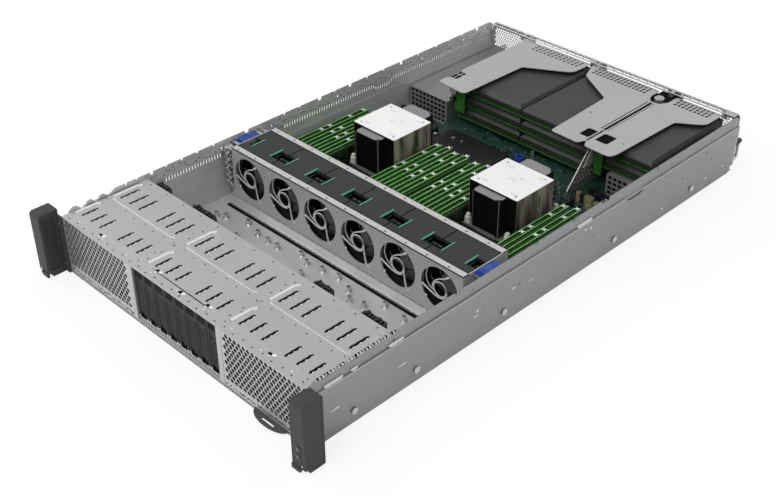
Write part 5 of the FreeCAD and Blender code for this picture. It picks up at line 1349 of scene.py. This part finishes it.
# Near-black sheets under the channel, the hand cut-outs, the slanted vents and the thumbscrew notch of the
# right plate: painted shade.
slot_dark = bmesh.new()
brick(slot_dark, (102.0, 118.0), (566.0, 719.0), (77.6, 78.4))
brick(slot_dark, (90.0, 140.0), (578.0, 610.0), (78.6, 79.2))
brick(slot_dark, (-14.0, 97.0), (732.0, 755.5), (78.6, 79.2))
brick(slot_dark, (128.0, 196.0), (732.0, 755.5), (78.6, 79.2))
brick(slot_dark, (97.0, 127.0), (722.4, 765.5), (77.1, 77.5))
finish("riser_painted_shade", slot_dark, shade, "riser_right")
slot_dark = bmesh.new()
brick(slot_dark, (-118.0, -26.0), (732.0, 755.5), (78.6, 79.2))
brick(slot_dark, (-139.4, -124.0), (582.8, 608.6), (78.2, 79.0))
brick(slot_dark, (-139.6, -127.0), (606.4, 607.4), (44.0, 80.0))
for i in range(30):
    x, z = random.uniform(-139, -129), random.uniform(44, 75)
    brick(slot_dark, (x, x + random.uniform(1, 4)), (random.uniform(585, 600), 606.6),
          (z, z + random.uniform(1, 4)))
finish("apron_shade", slot_dark, shade, "riser_left")

# Expansion cards: dark covers with bevelled edges over green boards whose edges stand out in front,
# three deep in the left and middle stacks and two in the right one.
card_dark = moulded("card_dark", "353536", 0.45, 500.0, 0.00008)
card_edge = circuit("card_edge", "1F4A18", "35662A")
card_front = circuit("card_front", "1A2317", "2B3D24")


def card(name, body, low, high, levels, stands_for=()):
    cover = bmesh.new()
    for bottom in levels:
        top = bottom + 14.1
        a, b = low + 4.0, high - 1.0
        rows = [[(a, 594, bottom + 1.6), (b, 594, bottom + 1.6), (b, 754, bottom + 1.6),
                 (a, 754, bottom + 1.6)],
                [(a, 594, top - 5), (b, 594, top - 5), (b, 754, top - 5), (a, 754, top - 5)],
                [(a + 5, 598.5, top), (b - 3, 598.5, top), (b - 3, 752, top), (a + 5, 752, top)]]
        grid = skin(cover, rows, closed=True)
        cover.faces.new(grid[-1])
        cover.faces.new(grid[0])
        for i in range(6):
            brick(cover, (a + 8 + 16 * i, a + 16 + 16 * i), (593.4, 594.2), (bottom + 3.0, bottom + 6.4))
    finish(name + "_covers", cover, card_dark, body, stands_for, soft=0.4)
    boards = bmesh.new()
    for bottom in levels:
        fingers = [oblong((low + 10 + 22 * i, low + 14 + 22 * i), (590.8, 592.6), 0.6, 2)
                   for i in range(int((high - low) / 24))]
        plate(boards, box_of((low + 3.4, high - 0.4), (590.4, 754.6)), fingers, "Z", bottom + 0.2,
              bottom + 1.5)
    finish(name + "_boards", boards, card_edge, body)
    fronts = bmesh.new()
    for bottom in levels:
        brick(fronts, (low + 4.2, high - 1.2), (592.6, 593.8), (bottom + 1.5, bottom + 8.6))
        for i in range(int((high - low) / 9)):
            brick(fronts, (low + 6 + 9 * i, low + 11 + 9 * i), (592.0, 592.6), (bottom + 3.0, bottom + 6.0))
    finish(name + "_fronts", fronts, card_front, body)
    bracket = bmesh.new()
    for bottom in levels:
        cells = [hexagon(low + 9 + 5 * i, bottom + 4.6 + 4.4 * j, 3.6) for j in range(2)
                 for i in range(int((high - low - 14) / 5))]
        plate(bracket, box_of((low + 4, high), (bottom, bottom + 14.4)), cells, "Y", 754.8, 756.0)
    brick(bracket, (low + 4, high), (754.8, 756.0), (levels[-1], levels[-1] + 0.8))
    finish(name + "_bracket", bracket, bright_zinc, body)


tiers = (61.5, 41.18, 20.86)
card("cards_left", "riser_left", -130.9, -14.5, tiers, ("cards_left",))
card("cards_middle", "riser_right", -16.9, 108.1, tiers, ("cards_right",))
card("cards_outer", "riser_right", 115.9, 199.9, tiers[:2])

# Captive thumbscrew: a knurled knob on a washer, in the notch between the two aprons.
knob = bmesh.new()
ridges = [(112 + (7.0 if k % 2 else 6.5) * math.cos(math.pi * k / 24),
           734 + (7.0 if k % 2 else 6.5) * math.sin(math.pi * k / 24))
          for k in range(48)]
plate(knob, ridges, [], "Z", 78.4, 83.6)
plate(knob, ring(112, 734, 5.6, 32), [box_of((107.5, 116.5), (733.4, 734.6))], "Z", 83.6, 84.6)
post(knob, 112, 734, 77.7, "Z", 6.9, 0.7, 32)
post(knob, 112, 734, 66.0, "Z", 2.0, 11.8, 16)
finish("thumbscrew_knob", knob, bright_zinc, "riser_thumbscrew", ("riser_thumbscrew",),
       soft=0.15)

low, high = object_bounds()
